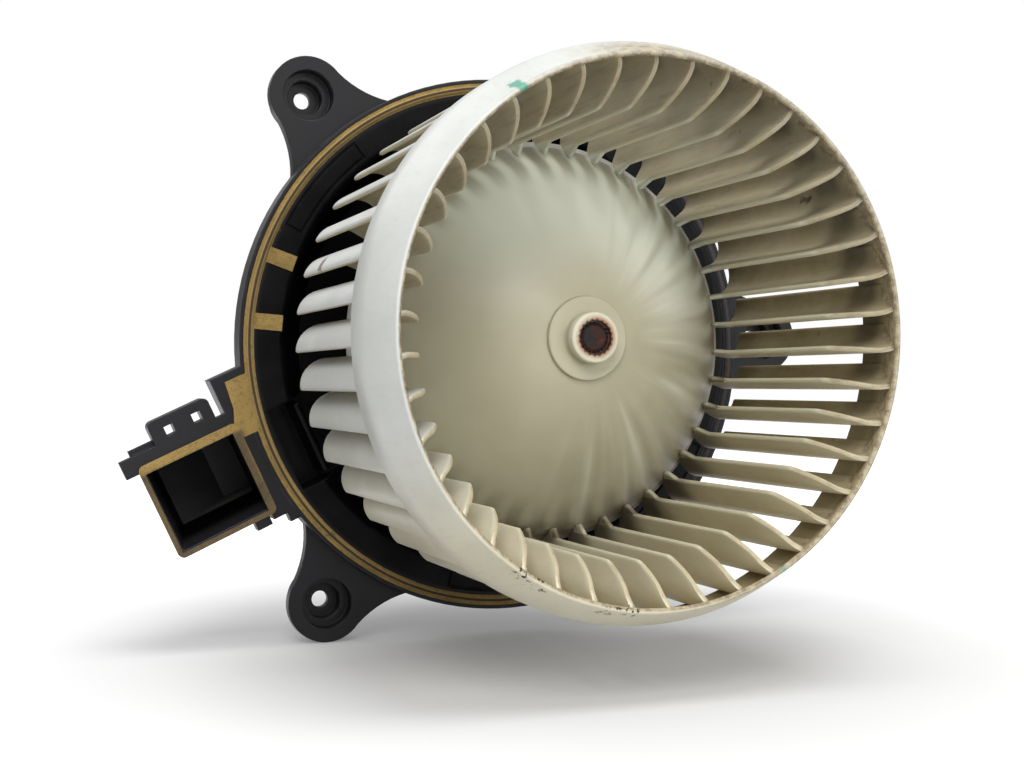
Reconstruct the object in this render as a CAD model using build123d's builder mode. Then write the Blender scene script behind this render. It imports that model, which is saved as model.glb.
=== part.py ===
from build123d import *
from math import cos, degrees, radians, sin
import os

# Car cabin blower motor: a squirrel-cage wheel on a brushed motor, held in a moulded
# mounting flange with three screw ears, a soft seal ring and a cooling-air duct.
# Millimetres. The motor axis is Y. The origin is on that axis, in the plane of the
# flange's front face. The air inlet of the wheel faces -Y and +Z is up.
# A height is a distance in front of that plane, so it runs along -Y.

# Wheel
wheel_height = 117.0
band_radius = 77.0
rim_inset = 5.0
band_cone_depth = 11.8
band_depth = 22.3
band_wall = 1.6
blade_count = 42
blade_depth = 16.0
blade_tip_inset = 1.8
blade_lean = 5.4
blade_lead = -4.5
blade_straight = 6.0
blade_roll = -2.9
blade_thickness = 1.5
blade_back_inner_height = 31.0
blade_back_outer_height = 25.5
blade_chamfer_depth = 13.3
blade_tip_depth = 1.5
blade_front_corner_radius = 9.0
blade_back_corner_radius = 2.5
plate_wall = 2.0
plate_overlap = 0.4
dome_bulge = 4.5
hub_step_radius = 12.3
hub_step_height = 68.4
hub_step_rise = 1.5
hub_boss_radius = 7.3
hub_boss_height = 73.7
hub_sleeve_radius = 9.0
hub_sleeve_height = 56.0
hub_recess_radius = 4.8
hub_recess_depth = 1.3
hub_rib_count = 6
hub_rib_wall = 1.6
hub_rib_reach = 12.0
hub_rib_drop = 4.0
hub_rib_root = 0.8
balance_hole_radius = 1.8
balance_hole_place = 55.0
balance_hole_angle = 325.0

# Shaft and its fits
shaft_radius = 4.0
knurl_radius = 4.45
knurl_teeth = 20
knurl_depth = 0.35
collar_radius = 5.4
running_clearance = 0.03
end_play = 0.3
shaft_chamfer = 0.6
shaft_tail = 0.5
shaft_pocket = 1.0

# Motor
can_radius = 33.0
can_wall = 1.6
can_front_height = 49.0
can_back_height = -26.0
can_corner_radius = 3.0
neck_wall = 1.6
neck_length = 6.5
vent_count = 4
vent_place = 21.0
vent_length = 14.0
vent_width = 5.0
cap_vent_length = 12.0
cap_window_slack = 1.6
cap_vent_angles = (30.0, 150.0, 220.0, 320.0)
bushing_radius = 8.4
bushing_length = 6.6
magnet_wall = 6.0
magnet_angle = 132.0
magnet_front_height = 39.0
magnet_back_height = -3.0
air_gap = 0.6
core_front_height = 36.0
core_back_height = 0.0
slot_count = 12
slot_bottom_radius = 11.5
slot_lip = 1.6
slot_mouth = 2.2
tooth_width = 3.6
winding_gap = 0.25
winding_inner_radius = 7.0
winding_outer_radius = 21.0
winding_height = 7.0
winding_corner = 2.8
commutator_radius = 11.0
commutator_front_height = -8.0
commutator_back_height = -21.0
riser_radius = 13.0
riser_height = 1.6
bar_groove = 0.6
washer_radius = 6.8
washer_thickness = 0.8
card_thickness = 2.0
card_hole_radius = 8.0
cap_spigot = 2.0
cap_wall = 1.6
brush_width = 6.0
brush_height = 9.6
brush_length = 11.7
brush_gap = 0.3
brush_slip = 0.1
box_wall = 0.7
box_end_radius = 27.6
box_setback = 2.0
spring_radius = 2.3
spring_wire = 0.5
spring_turns = 3.5
choke_radius = 3.2
choke_length = 12.0
choke_place = 22.0
choke_spread = 32.0
choke_core_radius = 2.2
choke_bare_end = 1.5
terminal_width = 6.3
terminal_thickness = 0.8
terminal_spacing = 9.0
terminal_drop = 22.0
terminal_length = 29.0

# Mounting flange
flange_radius = 87.8
flange_lip = 1.2
flange_lip_rise = 0.4
flange_skirt = 9.0
flange_wall = 2.5
floor_ledge = 1.0
joint_overlap = 1.0
skirt_wall = 2.2
seal_width = 3.3
seal_recess = 0.8
deck_width = 9.8
deck_edge_radius = 3.0
trough_slope = 7.5
trough_depth = 14.0
sleeve_gap = 3.2
sleeve_wall = 2.5
sleeve_front_height = 42.0
sleeve_lip = 2.2
sleeve_back_height = -20.0
ring_height = 9.0
ring_waist = 0.9
ring_inset = 2.0
rib_count = 24
rib_wall = 1.6
rib_height = 3.5
rib_roll = 5.0
tab_line_width = 0.7
tab_line_depth = 0.7
tab_inset = 2.5
tab_width = 6.0
tab_span = 24.8
tab_angles = (128.5, 256.0, 310.0)

# Screw ears
ear_roll = 2.1
ear_spread = 127.35
ear_reach = 14.4
ear_end_radius = 12.5
ear_base_half_angle = 14.5
ear_hollow = 1.6
ear_front_height = -4.0
ear_wall = 4.0
ear_boss_radius = 10.4
ear_boss_back_height = -16.5
socket_radius = 8.1
socket_depth = 5.0
socket_step_radius = 5.6
socket_step_depth = 10.0
screw_hole_radius = 2.7

# Cooling duct. Its own directions: outward from the axis, and across.
duct_tilt = 25.0
duct_gap = 3.2
duct_length = 33.0
duct_low = -16.0
duct_high = 15.0
duct_wall = 2.0
duct_corner = 2.0
funnel_depth = 14.0
throat_step = 4.5
throat_low = -11.0
channel_back_height = -34.0
channel_ramp = 19.5
window_inset = 4.0
window_rim = 2.3
window_half = 13.8
rail_inset = 9.0
rail_half = 11.7
rail_wall = 2.6
rail_corner = 1.2
rail_rise = 11.5
neck_overlap = 9.8
neck_low = -18.0
neck_high = 30.0
neck_depth = 9.0
bar_reach = 4.0
bar_rise = 3.8
bar_depth = 3.0
lower_bar_rise = 1.7
lower_bar_depth = 2.0
loop_inset = 5.0
loop_length = 20.0
loop_rise = 7.2
loop_depth = 7.0
loop_corner = 2.0
loop_window_width = 2.9
loop_window_height = 3.0
loop_window_insets = (5.1, 14.1)
loop_window_rise = 2.6
nub_depth = 5.0
nubs = ((3.0, 5.0, 3.0), (-7.0, 4.5, 5.0))

# Seal
seal_rise = 0.3
bead_radius = 1.0
bead_inset = 1.4
pad_angles = (160.8, 175.5)
pad_width = 5.0
pad_gap = 1.0
rim_seal_height = 1.0
rim_seal_top = 2.8
rim_seal_side = 1.5
rim_seal_inner = 2.5

# Rear housing
cover_clearance = 0.3
cover_wall = 2.0
cover_back_height = -42.5
cover_corner_radius = 4.0
lug_reach = 7.0
lug_radius = 6.0
lug_thickness = 3.0
lug_angles = (25.0, 145.0, 265.0)
screw_radius = 1.7
screw_slack = 0.4
screw_tip_gap = 1.0
pilot_depth = 8.5
screw_boss_radius = 4.2
screw_boss_height = 8.0
screw_head_radius = 4.0
screw_head_height = 2.4
screw_drive = 2.2
plug_width = 20.0
plug_height = 13.0
plug_wall = 1.5
plug_length = 16.0
slit_slack = 0.4

# Sizes that follow from those above
rim_radius = band_radius - rim_inset
blade_inner_radius = band_radius - blade_depth
blade_outer_radius = band_radius - blade_tip_inset
rim_depth_height = wheel_height - band_cone_depth
band_back_height = wheel_height - band_depth
deck_back_height = -flange_wall
seal_outer_radius = flange_radius - flange_lip
seal_inner_radius = seal_outer_radius - seal_width
bead_place = seal_inner_radius + bead_inset
deck_inner_radius = seal_inner_radius - deck_width
pad_inner_radius = deck_inner_radius + pad_gap
tab_inner_radius = deck_inner_radius + tab_inset
tab_outer_radius = tab_inner_radius + tab_width
trough_radius = deck_inner_radius - trough_slope
ear_place = flange_radius + ear_reach
duct_inner = flange_radius + duct_gap
duct_outer = duct_inner + duct_length
throat_outer = duct_outer - throat_step
channel_ramp_outer = throat_outer - channel_ramp
window_inner = trough_radius - window_inset
window_outer = seal_inner_radius - window_rim
rail_place = window_inner + rail_inset
neck_inner = flange_radius - neck_overlap
neck_outer = duct_inner + duct_wall
bar_outer = duct_outer + bar_reach
bar_high = duct_high + bar_rise
loop_inner = duct_inner + loop_inset
loop_outer = loop_inner + loop_length
# the seal's patch on the duct's neck, as reach and place across
land_outline = (
    (neck_inner + 6.0, 9.5),
    (duct_inner + 1.0, 9.5),
    (duct_inner + 1.0, duct_high - 1.0),
    (duct_inner - 1.0, bar_high),
    (duct_inner - 2.0, neck_high - 2.5),
    (neck_inner + 2.0, neck_high - 2.5),
)
floor_back_height = -trough_depth - flange_wall
sleeve_inner_radius = can_radius + sleeve_gap
sleeve_outer_radius = sleeve_inner_radius + sleeve_wall
can_inner_radius = can_radius - can_wall
can_front_inner = can_front_height - can_wall
magnet_inner_radius = can_inner_radius - magnet_wall
core_radius = magnet_inner_radius - air_gap
cover_inner_radius = sleeve_outer_radius + cover_clearance
cover_radius = cover_inner_radius + cover_wall
card_back_height = can_back_height + cap_spigot
card_front_height = card_back_height + card_thickness
rear_bushing_front = can_back_height
rear_bushing_back = rear_bushing_front - bushing_length
front_bushing_back = can_front_inner
front_bushing_front = front_bushing_back + bushing_length
lug_place = cover_radius + lug_reach
ear_angles = (ear_roll, ear_roll + ear_spread, ear_roll - ear_spread)


def level(height):
    """Plane across the axis, looking at the inlet: x is X, y is Z, and up is -Y."""
    return Plane.XZ.offset(height)


def duct_level(height):
    """The same plane turned with the duct: -x points out along the duct, y across it."""
    tilt = radians(duct_tilt)
    return Plane(origin=(0, -height, 0), x_dir=(cos(tilt), 0, sin(tilt)), z_dir=(0, -1, 0))


def spoke(angle):
    """Plane that holds the axis: x points out at the given angle and y is Y."""
    turn = radians(angle)
    return Plane(origin=(0, 0, 0), x_dir=(cos(turn), 0, sin(turn)), z_dir=(-sin(turn), 0, cos(turn)))


def turned(*points):
    """Radius and height pairs as points of a profile that is turned about the Y axis."""
    return [(radius, -height) for radius, height in points]


def polar(radius, angle):
    """The point at a radius and an angle on a plane across the axis."""
    return (radius * cos(radians(angle)), radius * sin(radians(angle)))


def profile(*points):
    """Draws a turned outline from radius and height pairs in the open sketch."""
    Polygon(*turned(*points), align=None)


def between(left, right, low, high, corner=0, mode=Mode.ADD):
    """Draws a rectangle between four sides in the open sketch."""
    with Locations(((left + right) / 2, (low + high) / 2)):
        if corner:
            RectangleRounded(right - left, high - low, corner, mode=mode)
        else:
            Rectangle(right - left, high - low, mode=mode)


def along(inner, outer, low, high, corner=0, mode=Mode.ADD):
    """Draws a rectangle on a duct plane, from its reach outward and across the duct."""
    between(-outer, -inner, low, high, corner, mode)


def lugs(grow, turn, mode=Mode.ADD):
    """Draws the outlines of the rear housing's screw lugs, widened all round, in the open sketch."""
    for angle in lug_angles:
        with Locations(Location((*polar(lug_place / 2, angle - turn), 0), angle - turn)):
            Rectangle(lug_place, 2 * (lug_radius + grow), mode=mode)
        with Locations(polar(lug_place, angle - turn)):
            Circle(lug_radius + grow, mode=mode)


def sector(inner, outer, start, span, mode=Mode.ADD):
    """Draws a piece of a ring in the open sketch."""
    with BuildLine() as outline:
        near = CenterArc((0, 0), inner, start, span)
        far = CenterArc((0, 0), outer, start, span)
        Line(near @ 0, far @ 0)
        Line(near @ 1, far @ 1)
    make_face(outline.edges(), mode=mode)


os.makedirs("parts", exist_ok=True)
parts = []


def keep(builder, label):
    """Labels a finished piece and writes it."""
    builder.part.label = label
    export_step(builder.part, f"parts/{label}.step")
    parts.append(builder.part)


# Impeller wheel: forward-curved blades between a flared band and a domed hub plate
blade_start = Vector(*polar(blade_inner_radius, 0))
blade_straight_edge = Line(blade_start, blade_start + Vector(*polar(blade_straight, blade_lead)))
blade_bend = TangentArc(
    blade_straight_edge @ 1,
    polar(blade_outer_radius, blade_lean),
    tangent=blade_straight_edge % 1,
)
blade_line = Wire([blade_straight_edge, blade_bend])
envelope_radius = band_radius - band_wall / 2
envelope_inner_radius = blade_inner_radius - blade_thickness / 2
blade_tip_height = wheel_height - blade_tip_depth
blade_chamfer_height = wheel_height - blade_chamfer_depth
plate_radius = blade_inner_radius + plate_overlap
with BuildPart() as impeller_wheel:
    with BuildSketch(level(blade_back_outer_height)):
        with PolarLocations(0, blade_count, start_angle=blade_roll):
            SlotArc(arc=blade_line, height=blade_thickness)
    extrude(amount=wheel_height - blade_back_outer_height)
    with BuildSketch(Plane.XY) as envelope:
        profile(
            (envelope_inner_radius, blade_back_inner_height),
            (envelope_radius, blade_back_outer_height),
            (envelope_radius, rim_depth_height),
            (rim_radius - band_wall / 2, blade_tip_height),
            (rim_radius - band_wall, blade_tip_height),
            (envelope_inner_radius, blade_chamfer_height),
        )
        fillet(envelope.vertices().sort_by(Axis.Y)[-1], blade_back_corner_radius)
        chamfer_end = (envelope_inner_radius, -blade_chamfer_height, 0)
        fillet(envelope.vertices().sort_by_distance(chamfer_end)[0], blade_front_corner_radius)
    revolve(axis=Axis.Y, mode=Mode.INTERSECT)
    with BuildSketch(Plane.XY):
        profile(
            (rim_radius, wheel_height),
            (band_radius, rim_depth_height),
            (band_radius, band_back_height),
            (band_radius - band_wall, band_back_height),
            (band_radius - band_wall, rim_depth_height),
            (rim_radius - band_wall, wheel_height),
        )
    revolve(axis=Axis.Y)
    with BuildSketch(Plane.XY):
        plate_front = blade_back_inner_height + plate_wall
        step_under = hub_step_height - hub_step_rise
        with BuildLine():
            inner = Polyline(
                *turned(
                    (knurl_radius, hub_sleeve_height),
                    (hub_sleeve_radius, hub_sleeve_height),
                    (hub_sleeve_radius, step_under - plate_wall),
                    (hub_step_radius, step_under - plate_wall),
                )
            )
            under = SagittaArc(
                inner @ 1, turned((plate_radius, blade_back_inner_height))[0], -dome_bulge
            )
            edge = Line(under @ 1, turned((plate_radius, plate_front))[0])
            over = SagittaArc(edge @ 1, turned((hub_step_radius, step_under))[0], dome_bulge)
            Polyline(
                over @ 1,
                *turned(
                    (hub_step_radius, hub_step_height),
                    (hub_boss_radius, hub_step_height),
                    (hub_boss_radius, hub_boss_height),
                    (hub_recess_radius, hub_boss_height),
                    (hub_recess_radius, hub_boss_height - hub_recess_depth),
                    (knurl_radius, hub_boss_height - hub_recess_depth),
                ),
                inner @ 0,
            )
        make_face()
    revolve(axis=Axis.Y)
    for rib in range(hub_rib_count):
        with BuildSketch(spoke(360 / hub_rib_count * rib)):
            profile(
                (hub_sleeve_radius - hub_rib_root, hub_sleeve_height + hub_rib_root),
                (hub_sleeve_radius - hub_rib_root, step_under - hub_rib_root),
                (hub_step_radius + hub_rib_reach, hub_sleeve_height + hub_rib_drop),
            )
        extrude(amount=hub_rib_wall / 2, both=True)
    with BuildSketch(level(blade_back_inner_height)):
        with Locations(polar(balance_hole_place, balance_hole_angle)):
            Circle(balance_hole_radius)
    extrude(amount=hub_step_height - blade_back_inner_height, mode=Mode.SUBTRACT)
keep(impeller_wheel, "impeller_wheel")

# Motor shaft: a plain ground shaft with a collar at each end and a knurled seat for the wheel
front_collar_height = front_bushing_back - end_play - washer_thickness
rear_collar_height = rear_bushing_front + end_play + washer_thickness
knurl_front = hub_boss_height - hub_recess_depth
with BuildPart() as motor_shaft:
    with BuildSketch(Plane.XY):
        profile(
            (0, knurl_front + shaft_chamfer),
            (shaft_radius - shaft_chamfer, knurl_front + shaft_chamfer),
            (shaft_radius, knurl_front),
            (shaft_radius, front_collar_height),
            (collar_radius, front_collar_height),
            (collar_radius, core_front_height),
            (shaft_radius, core_front_height),
            (shaft_radius, commutator_back_height),
            (collar_radius, commutator_back_height),
            (collar_radius, rear_collar_height),
            (shaft_radius, rear_collar_height),
            (shaft_radius, rear_bushing_back - shaft_tail),
            (0, rear_bushing_back - shaft_tail),
        )
    revolve(axis=Axis.Y)
    with BuildSketch(level(hub_sleeve_height)):
        Circle(knurl_radius)
        with PolarLocations(knurl_radius, knurl_teeth):
            Rectangle(2 * knurl_depth, 2 * knurl_depth, rotation=45, mode=Mode.SUBTRACT)
    extrude(amount=knurl_front - hub_sleeve_height)
keep(motor_shaft, "motor_shaft")

# Armature core: a stack of laminations with T-shaped teeth
slot_outer_radius = core_radius - slot_lip
slot_angle = 360 / slot_count
with BuildPart() as armature_core:
    with BuildSketch(level(core_back_height)):
        Circle(core_radius)
        Circle(slot_outer_radius, mode=Mode.SUBTRACT)
        with PolarLocations(core_radius, slot_count, start_angle=slot_angle / 2):
            Rectangle(4 * slot_lip, slot_mouth, mode=Mode.SUBTRACT)
        with PolarLocations(slot_outer_radius / 2 + slot_lip / 2, slot_count):
            Rectangle(slot_outer_radius, tooth_width)
        Circle(slot_bottom_radius)
        Circle(shaft_radius, mode=Mode.SUBTRACT)
    extrude(amount=core_front_height - core_back_height)
keep(armature_core, "armature_core")

# Armature windings: wire in the slots and the two end bundles, crowned like wound coils
with BuildPart() as armature_windings:
    with BuildSketch(level(core_back_height)):
        Circle(slot_outer_radius - winding_gap)
        Circle(slot_bottom_radius + winding_gap, mode=Mode.SUBTRACT)
        with PolarLocations(slot_outer_radius / 2 + slot_lip / 2, slot_count):
            Rectangle(slot_outer_radius, tooth_width + 2 * winding_gap, mode=Mode.SUBTRACT)
    extrude(amount=core_front_height - core_back_height)
    for base, top in (
        (core_front_height, core_front_height + winding_height),
        (core_back_height, core_back_height - winding_height),
    ):
        with BuildSketch(Plane.XY) as bundle:
            profile(
                (winding_inner_radius, base),
                (winding_outer_radius, base),
                (winding_outer_radius, top),
                (winding_inner_radius, top),
            )
            far = bundle.vertices().sort_by_distance((winding_outer_radius / 2, -top, 0))[:2]
            fillet(far, winding_corner)
        revolve(axis=Axis.Y)
keep(armature_windings, "armature_windings")

# Commutator: copper bars on a moulded core, with a riser hook ring
with BuildPart() as commutator:
    with BuildSketch(Plane.XY):
        profile(
            (shaft_radius, commutator_front_height),
            (riser_radius, commutator_front_height),
            (riser_radius, commutator_front_height - riser_height),
            (commutator_radius, commutator_front_height - riser_height),
            (commutator_radius, commutator_back_height),
            (shaft_radius, commutator_back_height),
        )
    revolve(axis=Axis.Y)
    with BuildSketch(level(commutator_back_height)):
        with PolarLocations(riser_radius, slot_count, start_angle=slot_angle / 2):
            Rectangle(2 * (riser_radius - commutator_radius) + 1, bar_groove)
    extrude(amount=commutator_front_height - commutator_back_height, mode=Mode.SUBTRACT)
keep(commutator, "commutator")

# Thrust washers between the shaft's collars and the bushings
for label, height in (
    ("front_thrust_washer", front_collar_height),
    ("rear_thrust_washer", rear_collar_height - washer_thickness),
):
    with BuildPart() as washer:
        with BuildSketch(level(height)):
            Circle(washer_radius)
            Circle(shaft_radius, mode=Mode.SUBTRACT)
        extrude(amount=washer_thickness)
    keep(washer, label)

# Motor can: a deep-drawn steel cup with a bearing neck and vents in its front
neck_radius = bushing_radius + neck_wall
neck_front_height = can_front_height + neck_length
with BuildPart() as motor_can:
    with BuildSketch(Plane.XY) as can_profile:
        profile(
            (can_radius, can_back_height),
            (can_radius, can_front_height),
            (neck_radius, can_front_height),
            (neck_radius, neck_front_height),
            (shaft_radius + neck_wall, neck_front_height),
            (shaft_radius + neck_wall, front_bushing_front),
            (bushing_radius, front_bushing_front),
            (bushing_radius, can_front_inner),
            (can_inner_radius, can_front_inner),
            (can_inner_radius, can_back_height),
        )
        corners = can_profile.vertices()
        fillet(corners.sort_by_distance((can_radius, -can_front_height, 0))[0], can_corner_radius)
        inner_corner = can_profile.vertices().sort_by_distance((can_inner_radius, -can_front_inner, 0))
        fillet(inner_corner[0], can_corner_radius - can_wall)
    revolve(axis=Axis.Y)
    with BuildSketch(level(can_front_inner)):
        with PolarLocations(vent_place, vent_count):
            SlotOverall(vent_length, vent_width, rotation=90)
    extrude(amount=can_wall, mode=Mode.SUBTRACT)
keep(motor_can, "motor_can")

# Magnets: two curved ferrite shells on the can's inner wall
with BuildPart() as magnets:
    with BuildSketch(level(magnet_back_height)):
        for middle in (90, 270):
            sector(magnet_inner_radius, can_inner_radius, middle - magnet_angle / 2, magnet_angle)
    extrude(amount=magnet_front_height - magnet_back_height)
keep(magnets, "magnets")

# Sintered bushings with a running fit on the shaft
for label, height in (("front_bushing", front_bushing_back), ("rear_bushing", rear_bushing_back)):
    with BuildPart() as bushing:
        with BuildSketch(level(height)):
            Circle(bushing_radius)
            Circle(shaft_radius + running_clearance, mode=Mode.SUBTRACT)
        extrude(amount=bushing_length)
    keep(bushing, label)

# End cap: closes the can and holds the rear bushing; vents let the cooling air in
cap_back_height = can_back_height - cap_wall
cap_neck_height = rear_bushing_back - cap_wall - shaft_pocket
cap_window = terminal_spacing + terminal_width + cap_window_slack
with BuildPart() as end_cap:
    with BuildSketch(Plane.XY):
        profile(
            (0, cap_neck_height),
            (neck_radius, cap_neck_height),
            (neck_radius, cap_back_height),
            (can_radius, cap_back_height),
            (can_radius, can_back_height),
            (can_inner_radius, can_back_height),
            (can_inner_radius, card_back_height),
            (bushing_radius, card_back_height),
            (bushing_radius, rear_bushing_back),
            (shaft_radius + shaft_pocket, rear_bushing_back),
            (shaft_radius + shaft_pocket, rear_bushing_back - shaft_pocket),
            (0, rear_bushing_back - shaft_pocket),
        )
    revolve(axis=Axis.Y)
    with BuildSketch(level(cap_back_height)):
        for angle in cap_vent_angles:
            with Locations(polar(vent_place, angle)):
                SlotOverall(cap_vent_length, vent_width, rotation=angle + 90)
        with Locations((0, -terminal_drop)):
            Rectangle(cap_window, terminal_thickness + cap_window_slack)
    extrude(amount=cap_wall + cap_spigot, mode=Mode.SUBTRACT)
keep(end_cap, "end_cap")

# Brush card: the moulded plate that carries the brush boxes and the chokes
with BuildPart() as brush_card:
    with BuildSketch(level(card_back_height)):
        Circle(can_inner_radius)
        Circle(card_hole_radius, mode=Mode.SUBTRACT)
        for angle in cap_vent_angles:
            with Locations(polar(vent_place, angle)):
                SlotOverall(cap_vent_length, vent_width, rotation=angle + 90, mode=Mode.SUBTRACT)
    extrude(amount=card_thickness)
keep(brush_card, "brush_card")

# Brush boxes, brushes and springs, one of each on either side of the commutator
brush_middle_height = (commutator_front_height - riser_height + commutator_back_height) / 2
brush_inner = commutator_radius + brush_gap
brush_outer = brush_inner + brush_length
box_inner = brush_inner + box_setback
box_half = brush_width / 2 + brush_slip + box_wall
slot_half_height = brush_height / 2 + brush_slip
box_front_height = brush_middle_height + slot_half_height + box_wall
with BuildPart() as brush_boxes:
    with BuildSketch(level(card_front_height)):
        with PolarLocations((box_inner + box_end_radius) / 2, 2):
            Rectangle(box_end_radius - box_inner, 2 * box_half)
    extrude(amount=box_front_height - card_front_height)
    with BuildSketch(level(brush_middle_height - slot_half_height)):
        Rectangle(2 * (box_end_radius - box_wall), 2 * (box_half - box_wall))
    extrude(amount=2 * slot_half_height, mode=Mode.SUBTRACT)
keep(brush_boxes, "brush_boxes")

with BuildPart() as carbon_brushes:
    with BuildSketch(level(brush_middle_height - brush_height / 2)):
        with PolarLocations((brush_inner + brush_outer) / 2, 2):
            Rectangle(brush_length, brush_width)
    extrude(amount=brush_height)
keep(carbon_brushes, "carbon_brushes")

spring_length = box_end_radius - box_wall - brush_outer
coil_length = spring_length - spring_wire
with BuildPart() as brush_springs:
    for side in (1, -1):
        start = Vector(side * (brush_outer + spring_wire / 2), -brush_middle_height, 0)
        with BuildLine():
            coil = Helix(
                pitch=coil_length / spring_turns,
                height=coil_length,
                radius=spring_radius,
                center=start,
                direction=(side, 0, 0),
            )
        with BuildSketch(Plane(origin=coil @ 0, z_dir=coil % 0)):
            RegularPolygon(spring_wire / 2, 4)
        sweep(path=coil, is_frenet=True)
keep(brush_springs, "brush_springs")

# Suppression chokes: wound ferrite rods that stand on the brush card
with BuildPart() as chokes:
    with BuildSketch(level(card_front_height)):
        with Locations(polar(choke_place, 90 - choke_spread), polar(choke_place, 90 + choke_spread)):
            Circle(choke_core_radius)
    extrude(amount=choke_length)
    with BuildSketch(level(card_front_height + choke_bare_end)):
        with Locations(polar(choke_place, 90 - choke_spread), polar(choke_place, 90 + choke_spread)):
            Circle(choke_radius)
    extrude(amount=choke_length - 2 * choke_bare_end)
keep(chokes, "chokes")

# Terminals: two blades from the plug socket to the brush card
with BuildPart() as terminals:
    with BuildSketch(level(card_back_height)):
        for side in (1, -1):
            with Locations((side * terminal_spacing / 2, -terminal_drop)):
                Rectangle(terminal_width, terminal_thickness)
    extrude(amount=-terminal_length)
keep(terminals, "terminals")

# Rubber rings that hold the can in the sleeve, each with a waist so that it can give
front_ring_front = sleeve_front_height - sleeve_lip
rear_ring_back = sleeve_back_height + ring_inset
front_ring_back = front_ring_front - ring_height
third = ring_height / 3
for label, height in (("front_isolator", front_ring_back), ("rear_isolator", rear_ring_back)):
    with BuildPart() as isolator:
        with BuildSketch(Plane.XY):
            profile(
                (can_radius, height),
                (sleeve_inner_radius, height),
                (sleeve_inner_radius, height + third),
                (sleeve_inner_radius - ring_waist, height + third),
                (sleeve_inner_radius - ring_waist, height + 2 * third),
                (sleeve_inner_radius, height + 2 * third),
                (sleeve_inner_radius, height + ring_height),
                (can_radius, height + ring_height),
            )
        revolve(axis=Axis.Y)
    keep(isolator, label)

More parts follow.
